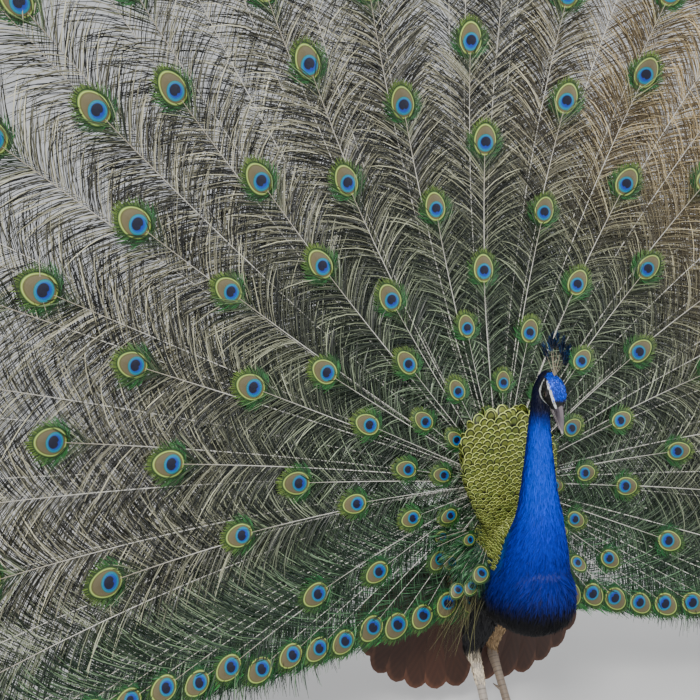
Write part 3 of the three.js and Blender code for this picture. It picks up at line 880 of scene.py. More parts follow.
WING = [
    [-62, -74, 340, 8, 20, 20],
    [-76, -34, 338, 10, 44, 42],
    [-79, 18, 334, 10, 52, 52],
    [-76, 62, 332, 8, 44, 46],
    [-68, 98, 338, 4, 24, 28],
]
UNDERTAIL = [
    [0, 94, 382, 38, 26, 30],
    [0, 98, 440, 62, 24, 30],
    [0, 108, 496, 72, 20, 24],
    [0, 120, 546, 56, 13, 16],
    [0, 128, 582, 30, 8, 9],
]
LEGS = {
    "right": dict(
        foot=(-44, -50, 9), hip=(-36, -8, 296), knee=(-35, 14, 234), shin=(-41, 40, 168), ankle=(-41, 22, 126)
    ),
    "left": dict(
        foot=(37, 24, 9), hip=(36, 40, 300), knee=(37, 72, 234), shin=(38, 108, 160), ankle=(37, 108, 116)
    ),
}
# Toes: name, turn from straight ahead, length, radius, lift of the root.
TOES = [
    ("middle", 0, 68, 5.6, 0),
    ("inner", -34, 48, 5.2, 0),
    ("outer", 32, 52, 5.2, 0),
    ("hind", 186, 24, 5.2, 3),
]
TOE_HEIGHT = 3.7


def between(a, b, t):
    return tuple(p + (q - p) * t for p, q in zip(a, b))


def mirrored_x(stations):
    return [[-s[0], *s[1:]] for s in stations]


def thigh(leg):
    low = between(leg["shin"], leg["ankle"], 0.75)
    widths = ((leg["hip"], 27, 40), (leg["knee"], 28, 38), (leg["shin"], 21, 23), (low, 11.5, 12))
    return [[*place, wide, deep, deep] for place, wide, deep in widths]


def shank(leg):
    widths = [(0, 9.8, 10.6), (0.25, 7.6, 8.6), (0.6, 7.2, 8), (0.85, 7.6, 8), (1, 9, 8)]
    start = [*between(leg["ankle"], leg["shin"], 0.4), 7, 8, 8]
    return [start] + [[*between(leg["ankle"], leg["foot"], t), w, h, h] for t, w, h in widths]


def toe_heading(leg, turn):
    turn = math.radians(turn) * math.copysign(1, leg["foot"][0])
    return (math.sin(turn), -math.cos(turn), 0)


def toe(leg, turn, length, radius, lift):
    heading = toe_heading(leg, turn)
    rows = []
    for t, swell in [(0, 1.25), (0.3, 0.92), (0.5, 1.05), (0.7, 0.88), (0.86, 1), (0.96, 0.88)]:
        x, y = (leg["foot"][k] + heading[k] * length * t for k in (0, 1))
        rows.append([x, y, TOE_HEIGHT + lift * (1 - t)] + [radius * swell] * 3)
    return rows


BODIES = {
    "trunk": (Loft(TRUNK, (18, 18), 44, 72, -4), 1),
    "neck": (Loft(NECK, (8, 6), 60, 56, -2.2), -1),
    "back": (Loft(BACK, (10, 10), 36, 72, -5), 1),
    "head": (Loft(SKULL, (8, 5), 40, 56, -0.8, frame=HEAD), -1),
    "head_cheeks": (Loft(CHEEKS, (5, 4), 40, 56, -0.8, frame=HEAD), -1),
    "wing_right": (Loft(WING, (8, 6), 40, 40, -3), 1),
    "wing_left": (Loft(mirrored_x(WING), (8, 6), 40, 40, -3), 1),
    "undertail": (Loft(UNDERTAIL, (14, 8), 36, 48, -8), 1),
}
for side, leg in LEGS.items():
    BODIES[f"thigh_{side}"] = (Loft(thigh(leg), (6, 5), 36, 36, -2.5), 1)
    BODIES[f"shank_{side}"] = (Loft(shank(leg), (4, 3), 40, 28, -0.3), 1)
    for name, turn, length, radius, lift in TOES:
        heading = toe_heading(leg, turn)
        side_way = (-heading[1], heading[0], 0)
        body = Loft(toe(leg, turn, length, radius, lift), (3, 2.5), 30, 24, -0.1, side_way)
        BODIES[f"toe_{name}_{side}"] = (body, 1)
PARTS = list(BODIES)
SHELVES = 6  # the unwrap gives each body a cell of a square of cells


# ---------------------------------------------------------------- colours of the plumage
COBALT = srgb(0, 48, 190)
DEEP_BLUE = srgb(1, 22, 118)
NAVY = srgb(6, 14, 52)
BLACK = srgb(10, 11, 16)
TEAL = srgb(10, 96, 150)
GOLD_GREEN = srgb(150, 160, 66)
BUFF = srgb(168, 140, 104)
PALE_BUFF = srgb(214, 200, 176)
DOWN_BROWN = srgb(58, 48, 40)
SHANK_GREY = srgb(150, 138, 124)
WHITE = srgb(236, 240, 240)

BROW = [(15.3, -18.5, 11.4), (16, -8, 12.4), (15.3, 6.4, 12.6), (11.6, 19.5, 7.8), (8.4, 28, 4.4)]
CHEEK = [
    (13.5, -25.5, 4.5), (17.6, -18.5, -4.5), (18.2, -11, -13), (17.2, -2, -17),
    (15, 7, -15.5), (11.5, 16, -12), (8, 24, -9),
]


def line_distance(points, line):
    """Distance in mm of points (n, 3) from a line of points, and the place along it (0..1)."""
    line = np.array(line, float)
    best, where = np.full(len(points), 1e9), np.zeros(len(points))
    for k in range(len(line) - 1):
        a, b = line[k], line[k + 1]
        s = np.clip((points - a) @ (b - a) / ((b - a) @ (b - a)), 0, 1)
        d = np.linalg.norm(points - a - s[:, None] * (b - a), axis=1)
        closer = d < best
        best = np.where(closer, d, best)
        where = np.where(closer, (k + s) / (len(line) - 1), where)
    return best, where


def head_local(points):
    """Working-frame points as mm in the head's frame, with both sides laid on one another."""
    local = moved(HEAD.inverted(), points) * 1000
    return np.abs(local[:, :1]) * [1, 0, 0] + local * [0, 1, 1]


def bare_face(local):
    """How much of the bare white skin shows at a place on the head, 0 to 1."""
    brow, along_brow = line_distance(local, BROW)
    cheek, along_cheek = line_distance(local, CHEEK)
    brow_width = 1.75 + 0.6 * np.sin(np.pi * along_brow)
    cheek_width = 1.9 + 3.5 * np.sin(np.pi * along_cheek**0.75)
    near_brow = 1 - smooth(brow_width - 0.3, brow_width + 0.6, brow)
    near_cheek = 1 - smooth(cheek_width - 0.3, cheek_width + 0.6, cheek)
    return np.maximum(near_brow, near_cheek)


CROWN_EDGE = [-30, -18, 0, 10, 20, 27], [7, 10.5, 13, 12, 8, 5]


def head_paint(local):
    _, y, z = local.T
    edge = np.interp(y, *CROWN_EDGE)
    crown = smooth(-0.6, 0.8, z - edge) * (1 - smooth(21.0, 22.6, y + 0.30 * np.abs(local[:, 0])))
    colour = mix(BLACK, NAVY, smooth(-16, -30, y) * 0.5)
    low = smooth(-8, -17, z) * smooth(-26, -6, y) * 0.5
    colour = mix(colour, DEEP_BLUE * 0.6, low)
    colour = mix(colour, srgb(6, 54, 180), crown)
    return mix(colour, WHITE, bare_face(local))


def blue_paint(points, normals):
    """Neck and breast: cobalt in front with a painted sheen, deeper blue as painted shade at the sides turned
    from the light, dark under the head and below.
    """
    x, y, z = points.T
    # Painted shade: the blue deepens where the surface turns away from the camera and the key light.
    facing = normals @ np.array([-0.30, -0.93, 0.2])
    colour = mix(DEEP_BLUE, COBALT, smooth(-0.2, 0.9, facing))
    # Painted sheen: a brighter blue band up the neck where it faces the light.
    painted_sheen = smooth(0.42, 0.52, z) * (1 - smooth(0.6, 0.66, z))
    colour = mix(colour, srgb(0, 78, 222), 0.7 * painted_sheen * smooth(0.2, 0.95, facing))
    colour = mix(colour, DEEP_BLUE * 0.7, 0.75 * (1 - smooth(0.33, 0.45, z)))
    nape = smooth(0.595, 0.64, z - 0.25 * (y + 0.12))
    colour = mix(colour, NAVY * 0.7, nape)
    under = 1 - smooth(0.285, 0.335, z + 0.12 * (y + 0.15))
    colour = mix(colour, BLACK, under)
    return colour


def plumage(part, points, normals):
    """Colour of the feathers at places on one body."""
    x, y, z = points.T
    if part.startswith("head"):
        return head_paint(head_local(points))
    if part == "neck":
        shoulder = smooth(-0.118, -0.1, y) * smooth(0.34, 0.38, z) * (1 - smooth(0.41, 0.44, z))
        return mix(blue_paint(points, normals), TEAL, 0.7 * shoulder)
    if part == "trunk":
        blue = blue_paint(points, normals)
        back = smooth(-0.1, -0.05, y + 0.2 * (z - 0.3))
        dark = mix(BLACK, srgb(24, 52, 36), smooth(0.27, 0.36, z))
        return mix(blue, dark, back)
    if part == "back":
        return GOLD_GREEN * 0.5
    if part.startswith("wing"):
        return mix(srgb(22, 58, 40), BUFF * 0.5, smooth(0.0, 0.03, y))
    if part == "undertail":
        return mix(DOWN_BROWN, srgb(96, 84, 70), smooth(0.46, 0.58, z))
    if part.startswith("thigh"):
        # Both thighs are buff; the left is painted darker than the right as painted shade under the breast.
        if part.endswith("right"):
            return mix(PALE_BUFF, BLACK, smooth(0.138, 0.162, z + 0.01 * np.sin(x * 400)))
        return mix(BUFF, BLACK, smooth(0.19, 0.25, z))
    return mix(SHANK_GREY * 0.8, SHANK_GREY * 1.1, smooth(0.0, 0.03, z))


# ---------------------------------------------------------------- the one skin
def neighbours_mean(values, edges, count, degree):
    total = np.zeros_like(values)
    for k in range(values.shape[1]):
        total[:, k] = np.bincount(edges[:, 0], values[edges[:, 1], k], count)
        total[:, k] += np.bincount(edges[:, 1], values[edges[:, 0], k], count)
    return total / degree[:, None]


def mesh_arrays(mesh):
    n = len(mesh.vertices)
    points, normals = np.empty(n * 3, np.float32), np.empty(n * 3, np.float32)
    mesh.vertices.foreach_get("co", points)
    mesh.vertex_normals.foreach_get("vector", normals)
    edges = np.empty(len(mesh.edges) * 2, np.int32)
    mesh.edges.foreach_get("vertices", edges)
    return points.reshape(-1, 3).astype(float), normals.reshape(-1, 3).astype(float), edges.reshape(-1, 2)


def body_samples():
    """All loft points with their body, flow and place on the unwrap, for nearest look-ups."""
    points, part, flow, place = [], [], [], []
    for k, (body, sign) in enumerate(BODIES.values()):
        n = body.t.size
        points.append(body.points.reshape(-1, 3))
        flow.append(body.along.reshape(-1, 3) * sign)
        part.append(np.full(n, k))
        u = (body.phi / (2 * math.pi) * 0.94 + 0.03 + k % SHELVES) / SHELVES
        v = (body.share * 0.94 + 0.03 + k // SHELVES) / SHELVES
        place.append(np.stack([u, v], -1).reshape(-1, 2))
    return (np.concatenate(a) for a in (points, part, flow, place))


def remeshed(voxel):
    """The bodies joined to one closed surface."""
    points, faces, start = [], [], 0
    for body, _ in BODIES.values():
        own, quads = body.mesh()
        points.append(own)
        faces += [[k + start for k in q] for q in quads]
        start += len(own)
    mesh = bpy.data.meshes.new("bodies")
    mesh.from_pydata(np.concatenate(points).tolist(), [], faces)
    piece = bpy.data.objects.new("bodies", mesh)
    scene.collection.objects.link(piece)
    for kind, values in (("TRIANGULATE", {}), ("REMESH", dict(mode="VOXEL", voxel_size=voxel))):
        modifier = piece.modifiers.new(kind, kind)
        for key, value in values.items():
            setattr(modifier, key, value)
    graph = bpy.context.evaluated_depsgraph_get()
    result = bpy.data.meshes.new_from_object(piece.evaluated_get(graph))
    bpy.data.objects.remove(piece)
    return result


def look_up(points):
    """Body number, flow and unwrap place of the nearest loft point."""
    samples, part, flow, place = body_samples()
    tree = KDTree(len(samples))
    for k, p in enumerate(samples):
        tree.insert(p, k)
    tree.balance()
    nearest = np.array([tree.find(p)[1] for p in points])
    return part[nearest], flow[nearest], place[nearest]


def refine_head(mesh):
    """Cuts the faces of the head into four, twice round the eyes."""
    head = HEAD.inverted()
    work = bmesh.new()
    work.from_mesh(mesh)
    for reach, middle in ((31.0, (0, 2, 0)), (13.5, EYE), (13.5, (-EYE[0], EYE[1], EYE[2]))):
        centre = HEAD @ (Vector(middle) if reach < 20 else Vector(middle) / 1000)
        near = lambda e: ((e.verts[0].co + e.verts[1].co) / 2 - centre).length < reach / 1000
        edges = [e for e in work.edges if near(e)]
        bmesh.ops.subdivide_edges(work, edges=edges, cuts=1, use_grid_fill=True, smooth=0.0)
    bmesh.ops.triangulate(work, faces=[f for f in work.faces if len(f.verts) > 4])
    work.to_mesh(mesh)
    work.free()


EYE_BALL = 7.3


def shape_eyelids(local_signed):
    """Lays the skin over each eyeball as two lids with an almond opening between them."""
    for side in (-1, 1):
        centre = np.array([side * EYE[0], EYE[1], EYE[2]]) * 1000
        away = local_signed - centre
        reach = np.linalg.norm(away, axis=1)
        on_side = away[:, 0] * side > -2.0
        direction = unit(away)
        along = direction[:, 1] * 0.93 + direction[:, 2] * 0.36
        up = direction[:, 2] * 0.93 - direction[:, 1] * 0.36
        almond = np.sqrt((along / 0.80) ** 2 + (up / 0.60) ** 2)
        opening = 1 - smooth(0.86, 1.0, almond)
        lid = EYE_BALL + 0.75 + 0.35 * np.exp(-(((almond - 1.1) / 0.12) ** 2))
        target = lid * (1 - opening) + (EYE_BALL - 1.6) * opening
        hold = on_side * (1 - smooth(8.4, 11.0, reach)) * (direction[:, 0] * side > 0.0)
        hold = hold * smooth(0.0, 0.35, direction[:, 0] * side)
        new_reach = reach * (1 - hold) + target * hold
        local_signed = centre + direction * new_reach[:, None]
    return local_signed


class Surface:
    """The skin's points with the normal, flow, body, unwrap place and colour at each."""


VOXEL = 0.0021
BODY_ROUNDS, BREAST_ROUNDS, FLOW_ROUNDS, PAINT_ROUNDS = 12, 58, 120, 3


def skin_material():
    """Bare skin and down under the coats, with small cells and a faint mottle."""
    shader = Shader("skin_surface", Roughness=0.62)
    base = shader.attribute("paint", "Color")
    cells = shader.nodes.new("ShaderNodeTexVoronoi")
    cells.inputs["Scale"].default_value = 420.0
    where = shader.nodes.new("ShaderNodeTexCoord").outputs["Object"]
    shader.links.new(where, cells.inputs["Vector"])
    mottled = shader.shaded(base, shader.noise(70.0, 4.0), 0.72, 1.12)
    shader.colour(shader.shaded(mottled, cells.outputs[0], 1.05, 0.75))
    shader.bump(cells.outputs[0], 0.35, 0.0006)
    return shader.material


def build_skin():
    mesh = remeshed(VOXEL)
    points, normals, edges = mesh_arrays(mesh)
    part, _, _ = look_up(points)
    count = len(points)
    degree = np.maximum(np.bincount(edges.ravel(), minlength=count), 1)
    small = np.isin(part, [k for k, name in enumerate(PARTS) if name.startswith(("toe", "shank"))])
    amount = np.where(small, 0.35, 1.0)[:, None] * 0.5
    amount = np.where((part == PARTS.index("head"))[:, None], 0.3, amount)
    breast = 1 - smooth(0.40, 0.46, points[:, 2:3])
    breast = breast * np.isin(part, [PARTS.index("trunk"), PARTS.index("neck")])[:, None]
    for k in range(BODY_ROUNDS + BREAST_ROUNDS):
        step = amount if k < BODY_ROUNDS else amount * breast
        points = points + step * (neighbours_mean(points, edges, count, degree) - points)
    mesh.vertices.foreach_set("co", points.astype(np.float32).ravel())
    refine_head(mesh)
    points, normals, edges = mesh_arrays(mesh)
    local = moved(HEAD.inverted(), points) * 1000
    near = np.linalg.norm(local, axis=1) < 60
    local[near] = shape_eyelids(local[near])
    points[near] = moved(HEAD, local[near] / 1000)
    points[:, 2] = np.maximum(points[:, 2], 0.0002)
    mesh.vertices.foreach_set("co", points.astype(np.float32).ravel())
    mesh.update()
    points, normals, edges = mesh_arrays(mesh)
    part, flow, place = look_up(points)
    count = len(points)
    degree = np.maximum(np.bincount(edges.ravel(), minlength=count), 1)
    trunk = (part == PARTS.index("trunk")) | ((part == PARTS.index("neck")) & (points[:, 2] < 0.46))
    back = smooth(-0.1, 0.02, points[trunk, 1])
    flow[trunk] = mix(np.array([0, 0.45, -1.0]), np.array([0, 1.0, -0.2]), back)
    for _ in range(FLOW_ROUNDS):
        flow = 0.3 * flow + 0.7 * neighbours_mean(flow, edges, count, degree)
    flow = level(flow, normals)
    paint = np.zeros((count, 3))
    for k, name in enumerate(PARTS):
        chosen = part == k
        paint[chosen] = plumage(name, points[chosen], normals[chosen])
    face = [k for k, name in enumerate(PARTS) if name.startswith("head")]
    for _ in range(PAINT_ROUNDS):
        soft = neighbours_mean(paint, edges, count, degree)
        paint = np.where(np.isin(part, face)[:, None], paint, soft)
    skin = Surface()
    skin.points, skin.normals, skin.flow, skin.part = points, normals, flow, part
    skin.place, skin.paint = place, paint
    set_paint(mesh, paint)
    mesh.transform(Matrix.Translation((0, OFFSET, 0)))
    mesh.polygons.foreach_set("use_smooth", np.ones(len(mesh.polygons), bool))
    mesh.name = "skin"
    mesh.materials.clear()
    nodes = ["trunk", "neck", "head", "wing_right", "wing_left", "undertail"]
    nodes += [f"{part}_{side}" for part in ("thigh", "shank", "foot") for side in ("right", "left")]
    finished(mesh, skin_material(), "flesh", *nodes)
    return skin


skin = build_skin()


# ---------------------------------------------------------------- choosing roots, laying tufts
CELLS_ROUND = list(itertools.product((-1, 0, 1), repeat=3))


def crowded(p, key, reach, taken):
    """Whether a root kept already lies nearer than the reach to p, in its cell or one beside it."""
    for dx, dy, dz in CELLS_ROUND:
        for other in taken.get((key[0] + dx, key[1] + dy, key[2] + dz), ()):
            q = skin.points[other]
            if (p[0] - q[0]) ** 2 + (p[1] - q[1]) ** 2 + (p[2] - q[2]) ** 2 < reach * reach:
                return True
    return False


def spaced(chosen, spacing):
    """Numbers of skin points among the chosen, no two nearer than the spacing (m) given there."""
    spacing = np.broadcast_to(spacing, len(skin.points))
    numbers = np.flatnonzero(chosen)
    rng.shuffle(numbers)
    cell = float(spacing[numbers].max())
    taken, kept = {}, []
    keys = np.floor(skin.points / cell).astype(int)
    for k in numbers:
        if not crowded(skin.points[k], keys[k], spacing[k], taken):
            taken.setdefault(tuple(keys[k]), []).append(k)
            kept.append(k)
    return np.array(kept)


def in_parts(*names):
    return np.isin(skin.part, [k for k, name in enumerate(PARTS) if name.startswith(names)])


def tufts(coat, roots, length, width, blades=4, lift=0.35, spread=0.35, sink=0.0003, paint=None, steps=4):
    """Locks of flat blades lying along the flow from each root; length and width in metres."""
    n = len(roots)
    p, normal = skin.points[roots], skin.normals[roots]
    flow = skin.flow[roots]
    side = np.cross(normal, flow)
    length = np.broadcast_to(length, n)[:, None] * rng.uniform(0.75, 1.15, (n, blades))
    width = np.broadcast_to(width, n)[:, None] * rng.uniform(0.8, 1.2, (n, blades))
    turn = rng.normal(0, spread, (n, blades))[..., None]
    heading = unit(flow[:, None] * np.cos(turn) + side[:, None] * np.sin(turn))
    aside = side[:, None] * rng.normal(0, 1, (n, blades, 1)) * width[..., None]
    base = p[:, None] - normal[:, None] * sink + aside
    base = base + flow[:, None] * rng.uniform(-0.25, 0.25, (n, blades, 1)) * length[..., None]
    t = np.linspace(0, 1, steps)
    rise = np.broadcast_to(lift, n)[:, None, None] * rng.uniform(0.6, 1.3, (n, blades, 1))
    out = (np.sin(np.pi * 0.62 * t) * rise)[..., None] * length[..., None, None] * 0.55
    path = base[:, :, None] + heading[:, :, None] * (length[..., None] * t)[..., None]
    path = path + normal[:, None, None] * out
    path = path.reshape(-1, steps, 3)
    tilt = rng.normal(0, 0.35, (n * blades, 1, 1))
    face = np.repeat(normal, blades, 0)[:, None] + np.repeat(side, blades, 0)[:, None] * tilt
    flat = side_of(path, face)
    profile = np.interp(t, [0, 0.35, 0.7, 1.0], [0.75, 1.0, 0.85, 0.25])
    half = width.reshape(-1, 1) * 0.5 * profile[None]
    paint = skin.paint[roots] if paint is None else paint
    colour = np.repeat(paint, blades, 0) * rng.uniform(0.82, 1.18, (n * blades, 1))
    tone = rng.random(n * blades)
    place = np.repeat(skin.place[roots], blades, 0)
    place = place + rng.uniform(-0.0012, 0.0012, place.shape)
    coat.strips(path, flat, half, place, t, tone, colour)


def build_blue_coat():
    """Silky feathers of the neck and breast."""
    z, y = skin.points[:, 2], skin.points[:, 1]
    chosen = in_parts("neck") | (in_parts("trunk") & (y < -0.045))
    chosen &= ~((y > -0.1) & in_parts("trunk") & (z > 0.352))
    spacing = np.interp(z, [0.3, 0.4, 0.55, 0.66], [0.0046, 0.0042, 0.0036, 0.0030])
    roots = spaced(chosen, spacing)
    z = skin.points[roots, 2]
    length = np.interp(z, [0.3, 0.4, 0.55, 0.66], [0.020, 0.017, 0.013, 0.008])
    width = np.interp(z, [0.3, 0.4, 0.55, 0.66], [0.0020, 0.0018, 0.0015, 0.0012])
    coat = Coat("neck_feathers")
    tufts(coat, roots, length, width, blades=5, lift=0.17, spread=0.16, steps=3)
    material = painted("neck_sheen", tip=1.15, root=0.75, grain=0.2, Roughness=0.6, Metallic=0.15,
                       Specular_IOR_Level=0.2)
    coat.make(material, "neck", low=0.0005)


def build_dark_coat():
    """Dark feathers of the flanks, belly and back of the trunk."""
    z, y = skin.points[:, 2], skin.points[:, 1]
    chosen = (in_parts("trunk") & (y >= -0.05)) | (in_parts("wing") & (y < 0.02))
    roots = spaced(chosen, 0.0072)
    coat = Coat("trunk_feathers")
    tufts(coat, roots, 0.026, 0.0036, blades=4, lift=0.2, spread=0.25)
    coat.make(painted("trunk_dark", tip=1.4, root=0.7, grain=0.3, Roughness=0.55), "flesh")


def build_leg_coats():
    coat = Coat("thigh_feathers")
    chosen = in_parts("thigh")
    roots = spaced(chosen, np.interp(skin.points[:, 2], [0.12, 0.2, 0.3], [0.0042, 0.006, 0.0075]))
    length = np.interp(skin.points[roots, 2], [0.12, 0.2, 0.3], [0.011, 0.017, 0.026])
    tufts(coat, roots, length, length * 0.16, blades=5, lift=0.22, spread=0.25)
    ankle = in_parts("shank_right") & (skin.points[:, 2] > 0.110)
    roots = spaced(ankle, 0.0036)
    pale = PALE_BUFF * rng.uniform(0.9, 1.25, (len(roots), 1))
    tufts(coat, roots, 0.011, 0.0020, blades=5, lift=0.24, spread=0.22, paint=pale)
    coat.make(painted("thigh_down", tip=1.25, root=0.65, grain=0.25, Roughness=0.75), "flesh")
    coat = Coat("undertail_down")
    roots = spaced(in_parts("undertail"), 0.0085)
    tufts(coat, roots, 0.034, 0.0022, blades=7, lift=0.5, spread=0.55)
    coat.make(painted("undertail_brown", tip=1.4, root=0.6, grain=0.3, Roughness=0.8), "undertail")


def build_head_coat():
    """Short feathers of the face and the scaly crown; the white skin stays bare."""
    local = head_local(skin.points)
    eye_reach = np.linalg.norm(local - np.array(EYE) * 1000, axis=1)
    bare = bare_face(local)
    on_head = in_parts("head") & (eye_reach > 9.4) & (bare < 0.06) & (local[:, 1] < 25)
    edge = np.interp(local[:, 1], *CROWN_EDGE)
    crown = on_head & (local[:, 2] > edge) & (local[:, 1] + 0.30 * local[:, 0] < 21.8)
    face = on_head & ~crown
    coat = Coat("head_feathers")
    roots = spaced(face, 0.0019)
    tufts(coat, roots, 0.0045, 0.0009, blades=3, lift=0.3, spread=0.25, sink=0.0001, steps=3)
    sparse = spaced(in_parts("head") & (bare > 0.8) & (eye_reach > 9), 0.0028)
    tufts(coat, sparse, 0.0026, 0.0006, blades=2, lift=0.1, spread=0.3, sink=0.0002, steps=3)
    coat.make(painted("face_feathers", tip=1.15, root=0.8, grain=0.2, Roughness=0.55), "neck")
    coat = Coat("crown_feathers")
    roots = spaced(crown, 0.0018)
    shine = srgb(8, 70, 208) * rng.uniform(0.35, 1.5, (len(roots), 1))
    tufts(coat, roots, 0.0036, 0.0014, blades=2, lift=0.42, spread=0.3, sink=0.0002, paint=shine, steps=4)
    coat.make(painted("crown_scales", tip=1.8, root=0.35, grain=0.25, Roughness=0.35, Metallic=0.35), "neck")


build_blue_coat()
build_dark_coat()
build_leg_coats()
build_head_coat()


# ---------------------------------------------------------------- vanes, each a small grid
def vanes(coat, root, heading, normal, length, width, place, colour, rows=5, columns=5, base=0.6,
          round_end=0.45, camber=0.18, curl=0.0, rise=0.0, size=0.003):
    """Feather vanes from roots (n, 3) along headings; lengths, widths (n,); tips are rounded."""
    n = len(root)
    u = np.linspace(0, 1, rows)
    s = 1 - (1 - u) ** 1.5
    c = np.linspace(-1, 1, columns)
    start = 1 - round_end
    outline = np.where(
        s < start,
        base + (1 - base) * smooth(0, start, s),
        np.sqrt(np.clip(1 - ((s - start) / round_end) ** 2, 0.0004, 1)),
    )
    normal = level(normal, heading)
    side = np.cross(normal, heading)
    length = np.broadcast_to(length, n)[:, None, None, None]
    width = np.broadcast_to(width, n)[:, None, None, None]
    curl = np.broadcast_to(curl, n)[:, None, None, None]
    rise = np.broadcast_to(rise, n)[:, None, None, None]
    s4, o4, c4 = s[None, :, None, None], outline[None, :, None, None], c[None, None, :, None]
    h4, n4, d4 = heading[:, None, None], normal[:, None, None], side[:, None, None]
    points = root[:, None, None] + h4 * length * s4 + d4 * width * 0.5 * o4 * c4
    points = points + n4 * (rise * length * s4 + curl * length * s4**2 - camber * width * (o4 * c4) ** 2)
    uv = np.stack(np.broadcast_arrays(c[None] * 0.5 * size, (s[:, None] - 0.5) * size), -1)
    uv = place[:, None, None] + uv[None]
    seed = rng.random(n)[:, None, None]
    eye = np.stack(np.broadcast_arrays((c[None] * outline[:, None])[None], s[None, :, None], seed), -1)
    lie = np.stack(np.broadcast_arrays(s[None, :, None], seed, 0 * c[None, None]), -1)
    coat.grid(points, uv, lie, colour, eye)


def vane_material(name, rim, rim_low, middle, root, bars=None, crescent_shade=0.0, **values):
    """A vane with a pale rim and a base darkened as painted shade: its colour follows the painted one, its
    pattern the place on it.
    """
    shader = Shader(name, **values)
    x, y, seed = shader.split(shader.attribute("eye"))
    paint = shader.attribute("paint", "Color")
    top = shader.math("MAXIMUM", shader.math("MULTIPLY_ADD", y, 1.9, -0.9), 0.0)
    rho = shader.reach(x, top)
    inner = middle
    if crescent_shade:
        # Painted shade: a dark crescent just inside the rim, under the raised edge.
        shade = shader.math("MULTIPLY", shader.step(rho, rim_low - 0.30, rim_low - 0.16), crescent_shade)
        inner = shader.mix(shade, middle, root)
    tone = shader.mix(shader.step(rho, rim_low, rim_low + 0.08), inner, rim)
    # Painted shade: darker towards the vane's base, under the vanes that lie over it.
    tone = shader.mix(shader.step(y, 0.5, 0.15), tone, root)
    colour = shader.mix(1.0, paint, tone, "MULTIPLY")
    stripe = shader.stripes(x, y, -22.0, 60.0)
    colour = shader.shaded(colour, stripe, 0.86, 1.08)
    if bars:
        wave = shader.math("SINE", shader.math("MULTIPLY_ADD", seed, 5.0, shader.math("MULTIPLY", y, bars)))
        wobble = shader.math("MULTIPLY_ADD", shader.noise(90.0, 3.0), 1.6, -0.8)
        dark = shader.step(shader.math("ADD", wave, wobble), -0.1, 0.35)
        colour = shader.mix(dark, colour, srgb(26, 24, 24))
    shader.colour(shader.shaded(colour, seed, 0.82, 1.15))
    shader.bump(stripe, 0.3, 0.0004)
    return shader.material


def build_scale_patch():
    """Rounded golden-green feathers of the back and shoulders, their tips pointing up, with a painted
    highlight on each pale rim and painted shade inside it and at the base.
    """
    x, y, z = skin.points.T
    front_edge = np.interp(z, [0.34, 0.345, 0.394, 0.43], [-0.02, -0.088, -0.101, -0.09])
    trunk = in_parts("trunk") & (z > 0.343) & (y > front_edge) & (skin.normals[:, 2] > -0.3)
    chosen = in_parts("back") | trunk
    spacing = np.interp(z, [0.345, 0.42, 0.5, 0.6], [0.0039, 0.0050, 0.0071, 0.0104])
    roots = spaced(chosen, spacing)
    p, normal, r = skin.points[roots], skin.normals[roots], spacing[roots]
    up = p * [2.2, 0, 0] + [0, 0.25, 1.0]
    flow = level(up, normal)
    side = np.cross(normal, flow)
    turn = rng.normal(0, 0.12, len(roots))[:, None]
    flow = unit(flow + side * turn)
    coat = Coat("scale_feathers")
    colour = srgb(226, 240, 150) * rng.uniform(0.85, 1.25, (len(roots), 1))
    colour = mix(colour, srgb(150, 196, 110), 0.35 * smooth(0.5, 1, rng.random(len(roots))))
    root = p - flow * (r * 0.9)[:, None] + normal * 0.0005
    vanes(coat, root, flow, normal, r * 2.0, r * 2.15, skin.place[roots], colour[:, None, None],
          rows=6, columns=7, base=0.7, round_end=0.55, camber=0.2, rise=0.44, curl=-0.02)
    # The near-white rim is a painted highlight on each raised edge; the near-black root colour and the
    # crescent are painted shade.
    material = vane_material("scale_pattern", srgb(255, 255, 226), 0.80, srgb(132, 134, 92), srgb(10, 18, 8),
                             crescent_shade=0.9, Roughness=0.45, Metallic=0.2)
    coat.make(material, "scales", "back_scales")


def build_wing_coverts():
    """Buff feathers barred with black over the closed wings."""
    coat = Coat("wing_feathers")
    roots = spaced(in_parts("wing") & (skin.points[:, 1] > 0.01), 0.0095)
    p, normal, flow = skin.points[roots], skin.normals[roots], skin.flow[roots]
    flow = unit(flow + np.array([0, 0, -0.25]))
    flow = level(flow, normal)
    colour = srgb(196, 172, 132) * rng.uniform(0.85, 1.1, (len(roots), 1))
    vanes(coat, p, flow, normal, 0.030, 0.019, skin.place[roots], colour[:, None, None], rows=6, columns=5,
          rise=0.12, camber=0.12)
    material = vane_material("wing_pattern", srgb(245, 240, 225), 0.82, srgb(220, 215, 205), srgb(90, 85, 80),
                             bars=22.0, Roughness=0.6)
    coat.make(material, "wing")


